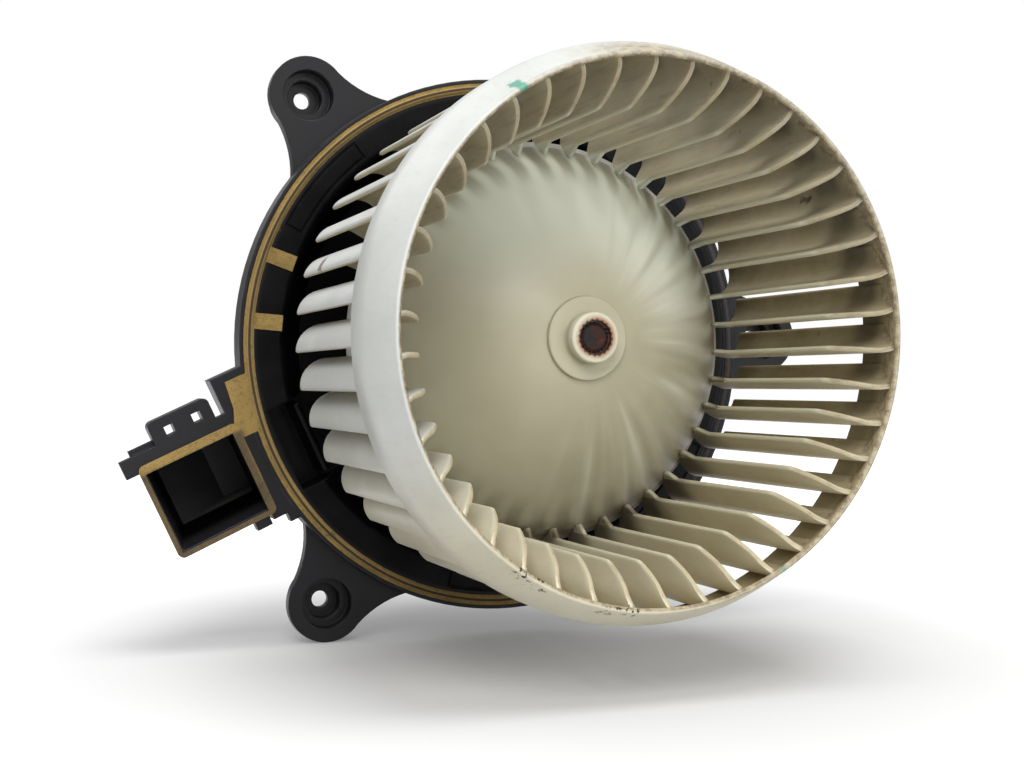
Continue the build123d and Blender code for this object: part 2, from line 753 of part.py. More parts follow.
# Mounting flange: one moulding with the deck, trough, sleeve, ears, duct and back ribs
trough_outline = (
    (sleeve_outer_radius, -trough_depth),
    (trough_radius, -trough_depth),
    (deck_inner_radius, 0),
)
with BuildPart() as mounting_flange:
    with BuildSketch(Plane.XY) as dish:
        profile(
            (seal_outer_radius, flange_lip_rise),
            (flange_radius, flange_lip_rise),
            (flange_radius, -flange_skirt),
            (flange_radius - skirt_wall, -flange_skirt),
            (flange_radius - skirt_wall, deck_back_height),
            (deck_inner_radius + floor_ledge, deck_back_height),
            (trough_radius + flange_wall, floor_back_height),
            (sleeve_outer_radius, floor_back_height),
            (sleeve_outer_radius, sleeve_back_height),
            (sleeve_inner_radius, sleeve_back_height),
            (sleeve_inner_radius, front_ring_front),
            (sleeve_inner_radius - sleeve_lip, front_ring_front),
            (sleeve_inner_radius - sleeve_lip, sleeve_front_height),
            (sleeve_outer_radius, sleeve_front_height),
            *trough_outline,
            (seal_outer_radius, 0),
        )
        deck_edge = dish.vertices().sort_by_distance((deck_inner_radius, 0, 0))[0]
        fillet(deck_edge, deck_edge_radius)
    revolve(axis=Axis.Y)
    # ears, each a tongue with a boss behind it
    for angle in ear_angles:
        end = Vector(*polar(ear_place, angle))
        side = Vector(*polar(ear_end_radius, angle + 90))
        foot = polar(flange_radius - joint_overlap, angle + ear_base_half_angle)
        far_foot = polar(flange_radius - joint_overlap, angle - ear_base_half_angle)
        with BuildSketch(level(ear_front_height - ear_wall)):
            with BuildLine():
                near_edge = SagittaArc(end + side, foot, ear_hollow)
                far_edge = SagittaArc(far_foot, end - side, ear_hollow)
                Line(foot, far_foot)
                Line(end - side, end + side)
            make_face()
            with Locations(end):
                Circle(ear_end_radius)
            Circle(flange_radius - joint_overlap, mode=Mode.SUBTRACT)
        extrude(amount=ear_wall)
        with BuildSketch(level(ear_boss_back_height)):
            with Locations(end):
                Circle(ear_boss_radius)
        extrude(amount=ear_front_height - ear_wall - ear_boss_back_height)
    # back ribs that stop short of the rear housing
    with BuildSketch(duct_level(floor_back_height - rib_height)):
        rib_start = cover_radius + floor_ledge
        with PolarLocations((rib_start + trough_radius) / 2, rib_count, start_angle=rib_roll):
            Rectangle(trough_radius - rib_start, rib_wall)
        along(0, duct_outer, throat_low - rib_wall, duct_high + rib_wall, mode=Mode.SUBTRACT)
        lugs(floor_ledge, duct_tilt, mode=Mode.SUBTRACT)
    extrude(amount=rib_height)
    # walls of the well behind the deck's window, the roof of the air channel and the neck
    with BuildSketch(duct_level(floor_back_height)):
        along(window_inner, window_outer + duct_wall, -window_half - duct_wall, window_half + duct_wall)
    extrude(amount=deck_back_height - floor_back_height)
    with BuildSketch(duct_level(floor_back_height)):
        along(window_inner, neck_outer, throat_low, duct_high)
    extrude(amount=-funnel_depth - floor_back_height)
    with BuildSketch(duct_level(-neck_depth)):
        along(neck_inner, neck_outer, neck_low, neck_high)
        Circle(neck_inner + duct_wall, mode=Mode.SUBTRACT)
    extrude(amount=neck_depth)
    # duct outside: a short funnel with a bar, a loop and nubs round its mouth
    with BuildSketch(duct_level(-funnel_depth)):
        along(duct_inner, throat_outer, throat_low, duct_high, duct_corner)
    with BuildSketch(duct_level(0)):
        along(duct_inner, duct_outer, duct_low, duct_high, duct_corner)
    loft()
    with BuildSketch(duct_level(floor_back_height)):
        along(duct_inner, throat_outer, throat_low, duct_high, duct_corner)
    extrude(amount=-funnel_depth - floor_back_height)
    with BuildSketch(duct_level(-bar_depth)):
        along(duct_inner - joint_overlap, bar_outer, duct_high - duct_wall, bar_high)
    extrude(amount=bar_depth)
    with BuildSketch(duct_level(-bar_depth - lower_bar_depth)):
        along(loop_inner, duct_outer, duct_high - duct_wall, bar_high + lower_bar_rise)
    extrude(amount=lower_bar_depth)
    with BuildSketch(duct_level(-loop_depth)):
        along(loop_inner, loop_outer, duct_high - duct_wall, bar_high + loop_rise, loop_corner)
    extrude(amount=loop_depth)
    for nub_start, nub_length, nub_drop in nubs:
        nub_inner = duct_inner + nub_start
        with BuildSketch(duct_level(-nub_depth)):
            along(nub_inner, nub_inner + nub_length, duct_low - nub_drop, duct_low + duct_wall)
        extrude(amount=nub_depth)
    # everything that the trough, the window and the duct leave open
    with BuildSketch(Plane.XY) as clearing:
        profile(*trough_outline, (sleeve_outer_radius, 0))
    revolve(axis=Axis.Y, mode=Mode.SUBTRACT)
    with BuildSketch(duct_level(-trough_depth)):
        along(window_inner, window_outer, -window_half, window_half)
    extrude(amount=trough_depth, mode=Mode.SUBTRACT)
    with BuildSketch(duct_level(-funnel_depth)):
        along(
            duct_inner + duct_wall, throat_outer - duct_wall, throat_low + duct_wall, duct_high - duct_wall
        )
    with BuildSketch(duct_level(0)):
        along(duct_inner + duct_wall, duct_outer - duct_wall, duct_low + duct_wall, duct_high - duct_wall)
    loft(mode=Mode.SUBTRACT)
    with BuildSketch(duct_level(floor_back_height)):
        along(
            duct_inner + duct_wall, throat_outer - duct_wall, throat_low + duct_wall, duct_high - duct_wall
        )
    extrude(amount=-funnel_depth - floor_back_height, mode=Mode.SUBTRACT)
    with BuildSketch(duct_level(-loop_depth)):
        for inset in loop_window_insets:
            with Locations((-loop_inner - inset, bar_high + loop_window_rise)):
                Rectangle(loop_window_width, loop_window_height)
    extrude(amount=loop_depth, mode=Mode.SUBTRACT)
    # the rail in the window and the bosses for the cover's screws
    with BuildSketch(spoke(duct_tilt).offset(-rail_half)):
        with Locations((-rail_place, trough_depth - rail_rise / 2)):
            RectangleRounded(rail_wall, rail_rise, rail_corner)
        between(-rail_place - rail_wall / 2, -rail_place + rail_wall / 2,
                trough_depth - rail_wall, trough_depth + joint_overlap)
    extrude(amount=2 * rail_half)
    with BuildSketch(level(floor_back_height + joint_overlap)):
        for angle in lug_angles:
            with Locations(polar(lug_place, angle)):
                Circle(screw_boss_radius)
    extrude(amount=screw_boss_height + flange_wall - joint_overlap)
    with BuildSketch(level(floor_back_height)):
        for angle in lug_angles:
            with Locations(polar(lug_place, angle)):
                Circle(screw_radius)
    extrude(amount=pilot_depth, mode=Mode.SUBTRACT)
    # stepped sockets in the ears
    for radius, depth in (
        (socket_radius, socket_depth),
        (socket_step_radius, socket_step_depth),
        (screw_hole_radius, ear_front_height - ear_boss_back_height),
    ):
        with BuildSketch(level(ear_front_height - depth)):
            for angle in ear_angles:
                with Locations(polar(ear_place, angle)):
                    Circle(radius)
        extrude(amount=depth, mode=Mode.SUBTRACT)
    # recess for the seal, and the fine outlines of three tabs in the deck
    with BuildSketch(level(-seal_recess)):
        Circle(seal_outer_radius)
        Circle(seal_inner_radius, mode=Mode.SUBTRACT)
        for angle in pad_angles:
            with Locations(Location((*polar((pad_inner_radius + bead_place) / 2, angle), 0), angle)):
                Rectangle(bead_place - pad_inner_radius, pad_width)
    extrude(amount=seal_recess, mode=Mode.SUBTRACT)
    with BuildSketch(duct_level(-seal_recess)):
        Polygon(*[(-reach, across) for reach, across in land_outline], align=None)
    extrude(amount=2 * seal_recess, mode=Mode.SUBTRACT)
    with BuildSketch(level(-tab_line_depth)):
        for angle in tab_angles:
            line_angle = degrees(tab_line_width / tab_outer_radius)
            sector(tab_inner_radius, tab_outer_radius, angle, tab_span)
            sector(
                tab_inner_radius + tab_line_width,
                tab_outer_radius - tab_line_width,
                angle + line_angle,
                tab_span - 2 * line_angle,
                mode=Mode.SUBTRACT,
            )
    extrude(amount=tab_line_depth, mode=Mode.SUBTRACT)
keep(mounting_flange, "mounting_flange")

# Foam seal: a beaded ring, two pads, a patch on the duct's neck and a frame on its mouth
with BuildPart() as flange_seal:
    with BuildSketch(level(-seal_recess)):
        Circle(seal_outer_radius)
        Circle(seal_inner_radius, mode=Mode.SUBTRACT)
        for angle in pad_angles:
            with Locations(Location((*polar((pad_inner_radius + bead_place) / 2, angle), 0), angle)):
                Rectangle(bead_place - pad_inner_radius, pad_width)
    extrude(amount=seal_recess + seal_rise)
    with BuildSketch(Plane.XY):
        with Locations(turned((bead_place, seal_rise))):
            Circle(bead_radius)
    revolve(axis=Axis.Y)
    with BuildSketch(duct_level(-seal_recess)):
        Polygon(*[(-reach, across) for reach, across in land_outline], align=None)
    extrude(amount=seal_recess + seal_rise)
    with BuildSketch(duct_level(0)):
        along(duct_inner, duct_outer, duct_low, duct_high, duct_corner)
        along(
            duct_inner + rim_seal_inner,
            duct_outer - rim_seal_side,
            duct_low + rim_seal_side,
            duct_high - rim_seal_top,
            mode=Mode.SUBTRACT,
        )
    extrude(amount=rim_seal_height)
keep(flange_seal, "flange_seal")

# Rear housing: a cup behind the motor with the air channel and the plug socket
ramp = (throat_outer - channel_ramp_outer) / (floor_back_height - channel_back_height)
channel_floor_height = channel_back_height + cover_wall
ramp_foot = -throat_outer + cover_wall + ramp * (floor_back_height - channel_floor_height)
with BuildPart() as rear_housing:
    with BuildSketch(Plane.XY) as cup:
        profile(
            (0, floor_back_height),
            (cover_radius, floor_back_height),
            (cover_radius, cover_back_height),
            (0, cover_back_height),
        )
        fillet(
            cup.vertices().sort_by_distance((cover_radius, -cover_back_height, 0))[0],
            cover_corner_radius,
        )
    revolve(axis=Axis.Y)
    with BuildSketch(spoke(duct_tilt).offset(throat_low)):
        Polygon(
            (0, -floor_back_height),
            (-throat_outer, -floor_back_height),
            (-channel_ramp_outer, -channel_back_height),
            (0, -channel_back_height),
            align=None,
        )
    extrude(amount=duct_high - throat_low)
    with BuildSketch(level(floor_back_height - lug_thickness)):
        lugs(0, 0)
    extrude(amount=lug_thickness)
    with BuildSketch(level(cover_back_height - plug_length)):
        with Locations((0, -terminal_drop)):
            RectangleRounded(plug_width, plug_height, plug_wall)
    extrude(amount=plug_length + cover_wall)
    with BuildSketch(level(cover_back_height + cover_wall)):
        Circle(cover_inner_radius)
    extrude(amount=floor_back_height - cover_back_height - cover_wall, mode=Mode.SUBTRACT)
    with BuildSketch(spoke(duct_tilt).offset(throat_low + cover_wall)):
        Polygon(
            (0, -floor_back_height),
            (-throat_outer + cover_wall, -floor_back_height),
            (ramp_foot, -channel_floor_height),
            (0, -channel_floor_height),
            align=None,
        )
    extrude(amount=duct_high - throat_low - 2 * cover_wall, mode=Mode.SUBTRACT)
    with BuildSketch(level(cover_back_height - plug_length)):
        with Locations((0, -terminal_drop)):
            Rectangle(plug_width - 2 * plug_wall, plug_height - 2 * plug_wall)
    extrude(amount=plug_length, mode=Mode.SUBTRACT)
    with BuildSketch(level(cover_back_height)):
        for side in (1, -1):
            with Locations((side * terminal_spacing / 2, -terminal_drop)):
                Rectangle(terminal_width + 2 * slit_slack, terminal_thickness + 2 * slit_slack)
    extrude(amount=cover_wall, mode=Mode.SUBTRACT)
    with BuildSketch(level(floor_back_height - lug_thickness)):
        for angle in lug_angles:
            with Locations(polar(lug_place, angle)):
                Circle(screw_radius + screw_slack)
    extrude(amount=lug_thickness, mode=Mode.SUBTRACT)
keep(rear_housing, "rear_housing")

# Screws that hold the rear housing, put in from behind
lug_back_height = floor_back_height - lug_thickness
with BuildPart() as cover_screws:
    with BuildSketch(level(lug_back_height - screw_head_height)):
        for angle in lug_angles:
            with Locations(polar(lug_place, angle)):
                Circle(screw_head_radius)
    extrude(amount=screw_head_height)
    with BuildSketch(level(lug_back_height)):
        for angle in lug_angles:
            with Locations(polar(lug_place, angle)):
                Circle(screw_radius)
    extrude(amount=lug_thickness + pilot_depth - screw_tip_gap)
    with BuildSketch(level(lug_back_height - screw_head_height)):
        for angle in lug_angles:
            with Locations(polar(lug_place, angle)):
                RegularPolygon(screw_drive, 6)
    extrude(amount=screw_head_height / 2, mode=Mode.SUBTRACT)
keep(cover_screws, "cover_screws")
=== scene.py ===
import math

import bmesh
import bpy
from bpy.props import (
    FloatProperty, FloatVectorProperty, IntProperty, PointerProperty,
)
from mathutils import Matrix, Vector


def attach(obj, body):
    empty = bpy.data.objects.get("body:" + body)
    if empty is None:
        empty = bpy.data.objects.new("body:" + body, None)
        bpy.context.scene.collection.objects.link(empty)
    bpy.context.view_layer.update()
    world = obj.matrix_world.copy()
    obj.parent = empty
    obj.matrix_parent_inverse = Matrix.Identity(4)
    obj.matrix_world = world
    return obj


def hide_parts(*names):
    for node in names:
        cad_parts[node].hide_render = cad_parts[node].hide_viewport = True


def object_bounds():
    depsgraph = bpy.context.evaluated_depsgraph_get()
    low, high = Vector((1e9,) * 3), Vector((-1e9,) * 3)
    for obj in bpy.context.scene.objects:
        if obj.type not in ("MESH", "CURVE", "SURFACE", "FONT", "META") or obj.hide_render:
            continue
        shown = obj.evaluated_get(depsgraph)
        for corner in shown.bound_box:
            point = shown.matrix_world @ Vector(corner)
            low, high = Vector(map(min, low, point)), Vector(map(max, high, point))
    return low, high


bl_info = {
    "name": "Cabin blower motor",
    "version": (1, 0, 0),
    "blender": (4, 5, 0),
    "location": "3D View > Sidebar > Blower",
    "description": "Dresses a car cabin blower motor with its wheel, materials and stage",
    "category": "Object",
}

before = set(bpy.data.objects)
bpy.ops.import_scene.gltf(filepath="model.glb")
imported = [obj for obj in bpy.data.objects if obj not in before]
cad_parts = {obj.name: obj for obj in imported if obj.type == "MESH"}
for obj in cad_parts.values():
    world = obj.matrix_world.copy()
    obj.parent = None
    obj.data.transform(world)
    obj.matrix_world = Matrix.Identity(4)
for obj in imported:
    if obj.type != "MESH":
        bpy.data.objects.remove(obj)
cad_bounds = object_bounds()
MM = 0.001

# The band and the plate, as in the solid
BAND_WALL = 1.6 * MM
BAND_CONE_DEPTH = 11.8 * MM
BAND_DEPTH = 22.3 * MM
BAND_SLOPE = 11.8 / 5.0
PLATE_BACK = 31.0 * MM
PLATE_WALL = 2.0 * MM

# The cooling duct's middle, its way out from the motor and its way across
DUCT_CENTRE = (-0.0972, 0.0, -0.0459)
DUCT_OUTWARD = (-0.9063, 0.0, -0.4226)
DUCT_ACROSS = (-0.4226, 0.0, 0.9063)


# Sizes and colours that a user would change

class WheelSizes(bpy.types.PropertyGroup):
    """Sizes of the squirrel-cage wheel, the same as in the solid it stands for"""

    height: FloatProperty(
        name="Height", description="Front of the rim above the flange's front face",
        default=117 * MM, unit="LENGTH")
    blade_count: IntProperty(
        name="Blades", description="Number of blades round the wheel", default=42, min=3)
    inner_radius: FloatProperty(
        name="Blade inner radius", description="Where the middle of a blade starts",
        default=61 * MM, unit="LENGTH")
    outer_radius: FloatProperty(
        name="Blade outer radius", description="Where the middle of a blade ends",
        default=75.2 * MM, unit="LENGTH")
    lean: FloatProperty(
        name="Lean", description="Turn between a blade's inner and outer end",
        default=math.radians(5.4), subtype="ANGLE")
    lead: FloatProperty(
        name="Lead", description="Heading of a blade's inner part away from the radius",
        default=math.radians(-4.5), subtype="ANGLE")
    straight: FloatProperty(
        name="Straight part", description="Length of a blade before it bends",
        default=6.0 * MM, unit="LENGTH")
    thickness: FloatProperty(
        name="Blade thickness", description="Wall of a blade", default=1.5 * MM, unit="LENGTH")
    roll: FloatProperty(
        name="Roll", description="Turn of the first blade", default=math.radians(-2.9),
        subtype="ANGLE")
    band_radius: FloatProperty(
        name="Band radius", description="Outside of the band", default=77 * MM, unit="LENGTH")
    rim_radius: FloatProperty(
        name="Rim radius", description="Outside of the band's front edge",
        default=72 * MM, unit="LENGTH")


class FinishColours(bpy.types.PropertyGroup):
    """Colours of the finishes, as they look under plain light"""

    clean_plastic: FloatVectorProperty(
        name="Clean plastic", description="The wheel where air keeps it clean",
        default=(0.68, 0.695, 0.67), size=3, subtype="COLOR")
    dusty_plastic: FloatVectorProperty(
        name="Dusty plastic", description="The wheel's inner faces under a film of dust",
        default=(0.50, 0.43, 0.275), size=3, subtype="COLOR")
    hub_plastic: FloatVectorProperty(
        name="Hub plastic", description="The domed plate and the hub",
        default=(0.53, 0.50, 0.355), size=3, subtype="COLOR")
    black_moulding: FloatVectorProperty(
        name="Black moulding", description="The mounting flange",
        default=(0.0035, 0.0032, 0.004), size=3, subtype="COLOR")
    foam: FloatVectorProperty(
        name="Foam", description="The seal ring and the seals of the duct",
        default=(0.40, 0.265, 0.078), size=3, subtype="COLOR")


class StageSettings(bpy.types.PropertyGroup):
    """The floor, the light and the camera"""

    floor_gap: FloatProperty(
        name="Floor gap", description="Distance of the floor below the part",
        default=0.1 * MM, unit="LENGTH")
    lens: FloatProperty(
        name="Lens", description="Focal length of the camera in millimetres", default=49.2)
    world_strength: FloatProperty(
        name="World strength", description="Plain light from all round", default=0.34, min=0)


# Node trees

class Bench:
    """Sets nodes down in a tree and joins them in the order in which a formula is worked out"""

    def __init__(self, tree, fresh=True):
        self.tree = tree
        if fresh:
            tree.nodes.clear()

    def add(self, kind, feeds=(), **settings):
        node = self.tree.nodes.new(kind)
        for name, value in settings.items():
            setattr(node, name, value)
        for key, value in dict(feeds).items():
            self.feed(node.inputs[key], value)
        return node

    def feed(self, socket, value):
        if isinstance(value, bpy.types.NodeSocket):
            self.tree.links.new(value, socket)
        else:
            socket.default_value = value

    def calc(self, operation, *values, clamp=False):
        node = self.add("ShaderNodeMath", enumerate(values), operation=operation)
        node.use_clamp = clamp
        return node.outputs[0]

    def product(self, first, *others):
        """All the values multiplied together"""
        for value in others:
            first = self.calc("MULTIPLY", first, value)
        return first

    def vector(self, operation, *values, output=0):
        node = self.add("ShaderNodeVectorMath", enumerate(values), operation=operation)
        return node.outputs[output]

    def split(self, value):
        return self.add("ShaderNodeSeparateXYZ", {0: value}).outputs

    def join(self, x, y, z):
        return self.add("ShaderNodeCombineXYZ", {0: x, 1: y, 2: z}).outputs[0]

    def ramp(self, value, low, high, to_low=0.0, to_high=1.0):
        """The value's place between low and high, eased at both ends"""
        node = self.add("ShaderNodeMapRange", {0: value, 1: low, 2: high, 3: to_low, 4: to_high},
                        interpolation_type="SMOOTHSTEP")
        return node.outputs[0]

    def noise(self, place, scale, detail=3.0, roughness=0.55):
        node = self.add("ShaderNodeTexNoise", {
            "Vector": place, "Scale": scale, "Detail": detail, "Roughness": roughness})
        return node.outputs[0]

    def tint(self, factor, first, second):
        """Colour between first and second"""
        node = self.add("ShaderNodeMix", data_type="RGBA", clamp_factor=True)
        self.feed(node.inputs[0], factor)
        for socket, colour in ((node.inputs[6], first), (node.inputs[7], second)):
            if not isinstance(colour, bpy.types.NodeSocket):
                colour = (*colour, 1.0)
            self.feed(socket, colour)
        return node.outputs[2]

    def lay(self, under, over, *masks):
        """One colour over another, as far as all the masks let it through"""
        return self.tint(self.product(*masks), under, over)


def shader_group(name, inputs, outputs, build):
    """A shader node group with number inputs and named outputs"""
    tree = bpy.data.node_groups.new(name, "ShaderNodeTree")
    for label, value in inputs:
        socket = tree.interface.new_socket(label, in_out="INPUT", socket_type="NodeSocketFloat")
        socket.default_value = value
    for label, kind in outputs:
        tree.interface.new_socket(label, in_out="OUTPUT", socket_type="NodeSocket" + kind)
    bench = Bench(tree)
    given = bench.add("NodeGroupInput").outputs
    results = build(bench, given)
    end = bench.add("NodeGroupOutput")
    for label, result in results.items():
        tree.links.new(result, end.inputs[label])
    return tree


def use(bench, group, feeds=()):
    """Places a group in a material with its own values"""
    node = bench.add("ShaderNodeGroup", node_tree=group)
    for label, value in dict(feeds).items():
        bench.feed(node.inputs[label], value)
    return node.outputs


def grain_group():
    """Moulded or cast surface: fine grain, slow patches of colour and rare specks"""
    def build(bench, given):
        place = bench.add("ShaderNodeTexCoord").outputs["Object"]
        fine = bench.noise(place, given["Grain Scale"], 4.0, 0.6)
        patches = bench.noise(place, given["Patch Scale"], 3.0, 0.5)
        dots = bench.add("ShaderNodeTexVoronoi", {"Vector": place, "Scale": given["Speck Scale"]})
        near = bench.ramp(dots.outputs["Distance"], 0.06, 0.16, 1.0, 0.0)
        chance = bench.split(dots.outputs["Color"])[0]
        specks = bench.calc("MULTIPLY", near, bench.ramp(chance, 0.80, 0.86))
        return {"Fine": fine, "Patches": bench.ramp(patches, 0.32, 0.68), "Specks": specks}
    return shader_group(
        "Surface grain",
        (("Grain Scale", 1400.0), ("Patch Scale", 26.0), ("Speck Scale", 160.0)),
        (("Fine", "Float"), ("Patches", "Float"), ("Specks", "Float")), build)


def edge_group():
    """Wear on sharp edges: how far a rounded normal leans away from the true one"""
    def build(bench, given):
        rounded = bench.add("ShaderNodeBevel", {"Radius": given["Radius"]}, samples=6)
        true = bench.add("ShaderNodeNewGeometry").outputs["Normal"]
        alike = bench.vector("DOT_PRODUCT", rounded.outputs[0], true, output=1)
        worn = bench.ramp(alike, 0.99, 0.80)
        place = bench.add("ShaderNodeTexCoord").outputs["Object"]
        broken = bench.ramp(bench.noise(place, given["Break Scale"], 5.0), 0.38, 0.62)
        return {"Worn": bench.calc("MULTIPLY", worn, broken), "Normal": rounded.outputs[0]}
    return shader_group(
        "Worn edges", (("Radius", 0.0005), ("Break Scale", 120.0)),
        (("Worn", "Float"), ("Normal", "Vector")), build)


def dust_group():
    """Dust that lies on faces that look up, thicker in patches"""
    def build(bench, given):
        coords = bench.add("ShaderNodeTexCoord").outputs
        up = bench.ramp(bench.split(coords["Normal"])[2], given["Start"], 1.0)
        clumps = bench.noise(coords["Object"], given["Clump Scale"], 6.0, 0.7)
        clumps = bench.ramp(clumps, 0.35, 0.7)
        film = bench.calc("MULTIPLY", up, bench.calc("MULTIPLY_ADD", clumps, 0.7, 0.3))
        return {"Dust": bench.calc("MULTIPLY", film, given["Amount"])}
    return shader_group(
        "Settled dust", (("Start", 0.1), ("Clump Scale", 90.0), ("Amount", 0.5)),
        (("Dust", "Float"),), build)


def wheel_place_group():
    """Where a point lies on the wheel: radius, height, angle, side and place from blade to blade"""
    def build(bench, given):
        coords = bench.add("ShaderNodeTexCoord").outputs
        x, y, z = bench.split(coords["Object"])
        flat = bench.join(x, 0.0, z)
        radius = bench.vector("LENGTH", flat, output=1)
        outward = bench.vector("NORMALIZE", flat)
        out_x, _, out_z = bench.split(outward)
        onward = bench.join(bench.calc("MULTIPLY", out_z, -1.0), 0.0, out_x)
        normal = coords["Normal"]
        inwards = bench.calc(
            "SUBTRACT",
            bench.calc("MULTIPLY", bench.vector("DOT_PRODUCT", normal, onward, output=1), 0.75),
            bench.calc("MULTIPLY", bench.vector("DOT_PRODUCT", normal, outward, output=1), 0.7))
        angle = bench.calc("ARCTAN2", z, x)
        turn = bench.calc("SUBTRACT", angle, given["Roll"])
        step = bench.calc("MULTIPLY", turn, bench.calc("DIVIDE", given["Blades"], math.tau))
        return {
            "Radius": radius,
            "Height": bench.calc("MULTIPLY", y, -1.0),
            "Angle": angle,
            "Inward": bench.ramp(inwards, -0.25, 0.35),
            "Blade Step": bench.calc("FRACT", bench.calc("ADD", step, 100.0)),
        }
    return shader_group(
        "Place on wheel", (("Blades", 42.0), ("Roll", 0.0)),
        tuple((name, "Float") for name in
              ("Radius", "Height", "Angle", "Inward", "Blade Step")), build)


GROUPS = {}


def group(name):
    """Builds a shader group at its first use and hands out the same one after that"""
    makers = {"grain": grain_group, "edge": edge_group, "dust": dust_group,
              "wheel": wheel_place_group}
    if name not in GROUPS:
        GROUPS[name] = makers[name]()
    return GROUPS[name]


def material(name):
    """A new material with an empty tree and its bench"""
    made = bpy.data.materials.new(name)
    made.use_nodes = True
    return made, Bench(made.node_tree)


def close(bench, colour, roughness, bump, strength=0.3, depth=0.2 * MM, normal=None,
          **constants):
    """Ends a material: one shader with its bump and its constant values"""
    shader = bench.add("ShaderNodeBsdfPrincipled")
    bench.feed(shader.inputs["Base Color"], colour)
    bench.feed(shader.inputs["Roughness"], roughness)
    for label, value in constants.items():
        shader.inputs[label.replace("_", " ")].default_value = value
    lift = bench.add("ShaderNodeBump", {
        "Strength": strength, "Distance": depth, "Height": bump})
    if normal is not None:
        bench.feed(lift.inputs["Normal"], normal)
    bench.feed(shader.inputs["Normal"], lift.outputs[0])
    end = bench.add("ShaderNodeOutputMaterial")
    bench.tree.links.new(shader.outputs[0], end.inputs[0])
    return shader


MOULDED_SHINE = 0.26


def moulded(name, base, patch, dust, roughness, grain=1400.0, dust_amount=0.5,
            wear=(0.1, 0.1, 0.1), wear_amount=0.5, bump=0.25, edge=0.5 * MM):
    """A moulded finish with patches, worn edges, specks and dust"""
    made, bench = material(name)
    grains = use(bench, group("grain"), {"Grain Scale": grain})
    edges = use(bench, group("edge"), {"Radius": edge})
    dusts = use(bench, group("dust"), {"Amount": dust_amount})
    colour = bench.tint(grains["Patches"], base, patch)
    colour = bench.tint(bench.calc("MULTIPLY", edges["Worn"], wear_amount), colour, wear)
    colour = bench.tint(dusts["Dust"], colour, dust)
    colour = bench.tint(bench.calc("MULTIPLY", grains["Specks"], 0.35), colour, dust)
    rough = bench.calc("MULTIPLY_ADD", grains["Patches"], 0.10, roughness)
    rough = bench.calc("MULTIPLY_ADD", dusts["Dust"], 0.3, rough, clamp=True)
    close(bench, colour, rough, grains["Fine"], bump, normal=edges["Normal"],
          Specular_IOR_Level=MOULDED_SHINE)
    return made


def metal(name, base, tarnish, roughness, scratch=(1.0, 1.0, 1.0), metallic=1.0, bump=0.15,
          rust=0.0, rust_colour=(0.16, 0.055, 0.02)):
    """Bare or plated metal with drawn scratches, tarnish and, where asked for, rust"""
    made, bench = material(name)
    grains = use(bench, group("grain"), {"Grain Scale": 900.0, "Patch Scale": 45.0})
    edges = use(bench, group("edge"), {"Radius": 0.4 * MM})
    place = bench.add("ShaderNodeTexCoord").outputs["Object"]
    lines = bench.noise(bench.vector("MULTIPLY", place, scratch), 700.0, 4.0)
    colour = bench.tint(grains["Patches"], base, tarnish)
    colour = bench.tint(bench.calc("MULTIPLY", edges["Worn"], 0.4), colour, base)
    spread = bench.noise(place, 130.0, 6.0, 0.7)
    rusted = bench.ramp(spread, 0.75 - 0.45 * rust, 0.85 - 0.35 * rust)
    colour = bench.tint(rusted, colour, rust_colour)
    rough = bench.calc("MULTIPLY_ADD", lines, 0.2, roughness)
    rough = bench.calc("MULTIPLY_ADD", rusted, 0.4, rough, clamp=True)
    shine = bench.calc("MULTIPLY_ADD", rusted, -metallic, metallic)
    lumps = bench.calc("ADD", lines, bench.calc("MULTIPLY", spread, rusted))
    shader = close(bench, colour, rough, lumps, bump, normal=edges["Normal"])
    bench.feed(shader.inputs["Metallic"], shine)
    return made


def paint(node, finish):
    """Puts a finish in every slot of a CAD node"""
    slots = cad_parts[node].data.materials
    if not slots:
        slots.append(finish)
    for place in range(len(slots)):
        slots[place] = finish


# Wheel

# Points across, along and up one blade
BLADE_GRID = (3, 22, 26)
# The front edge: how it climbs outwards, its drop at the inner end and its rounded corners
FRONT_SLOPE, FRONT_DROP = 1.05, 12.2 * MM
HEEL_LENGTH, HEEL_DROP = 7.0 * MM, 7.0 * MM
TIP_DROP, CORNER_EASE, BAND_EASE = 1.2 * MM, 2.0 * MM, 1.2 * MM
BACK_SLOPE = 0.35
# The fillet in which the inner edge runs out over the plate
FILLET_TOP, FILLET_RISE, FILLET_REACH = 44.0 * MM, 5.2 * MM, 5.0 * MM
PLATE_TOP, PLATE_RUN, PLATE_SINK = 33.4 * MM, 0.93, 1.15 * MM
# The least share of the wall that is left at a blade's rounded ends, squared
LEAST_SHARE = 0.02


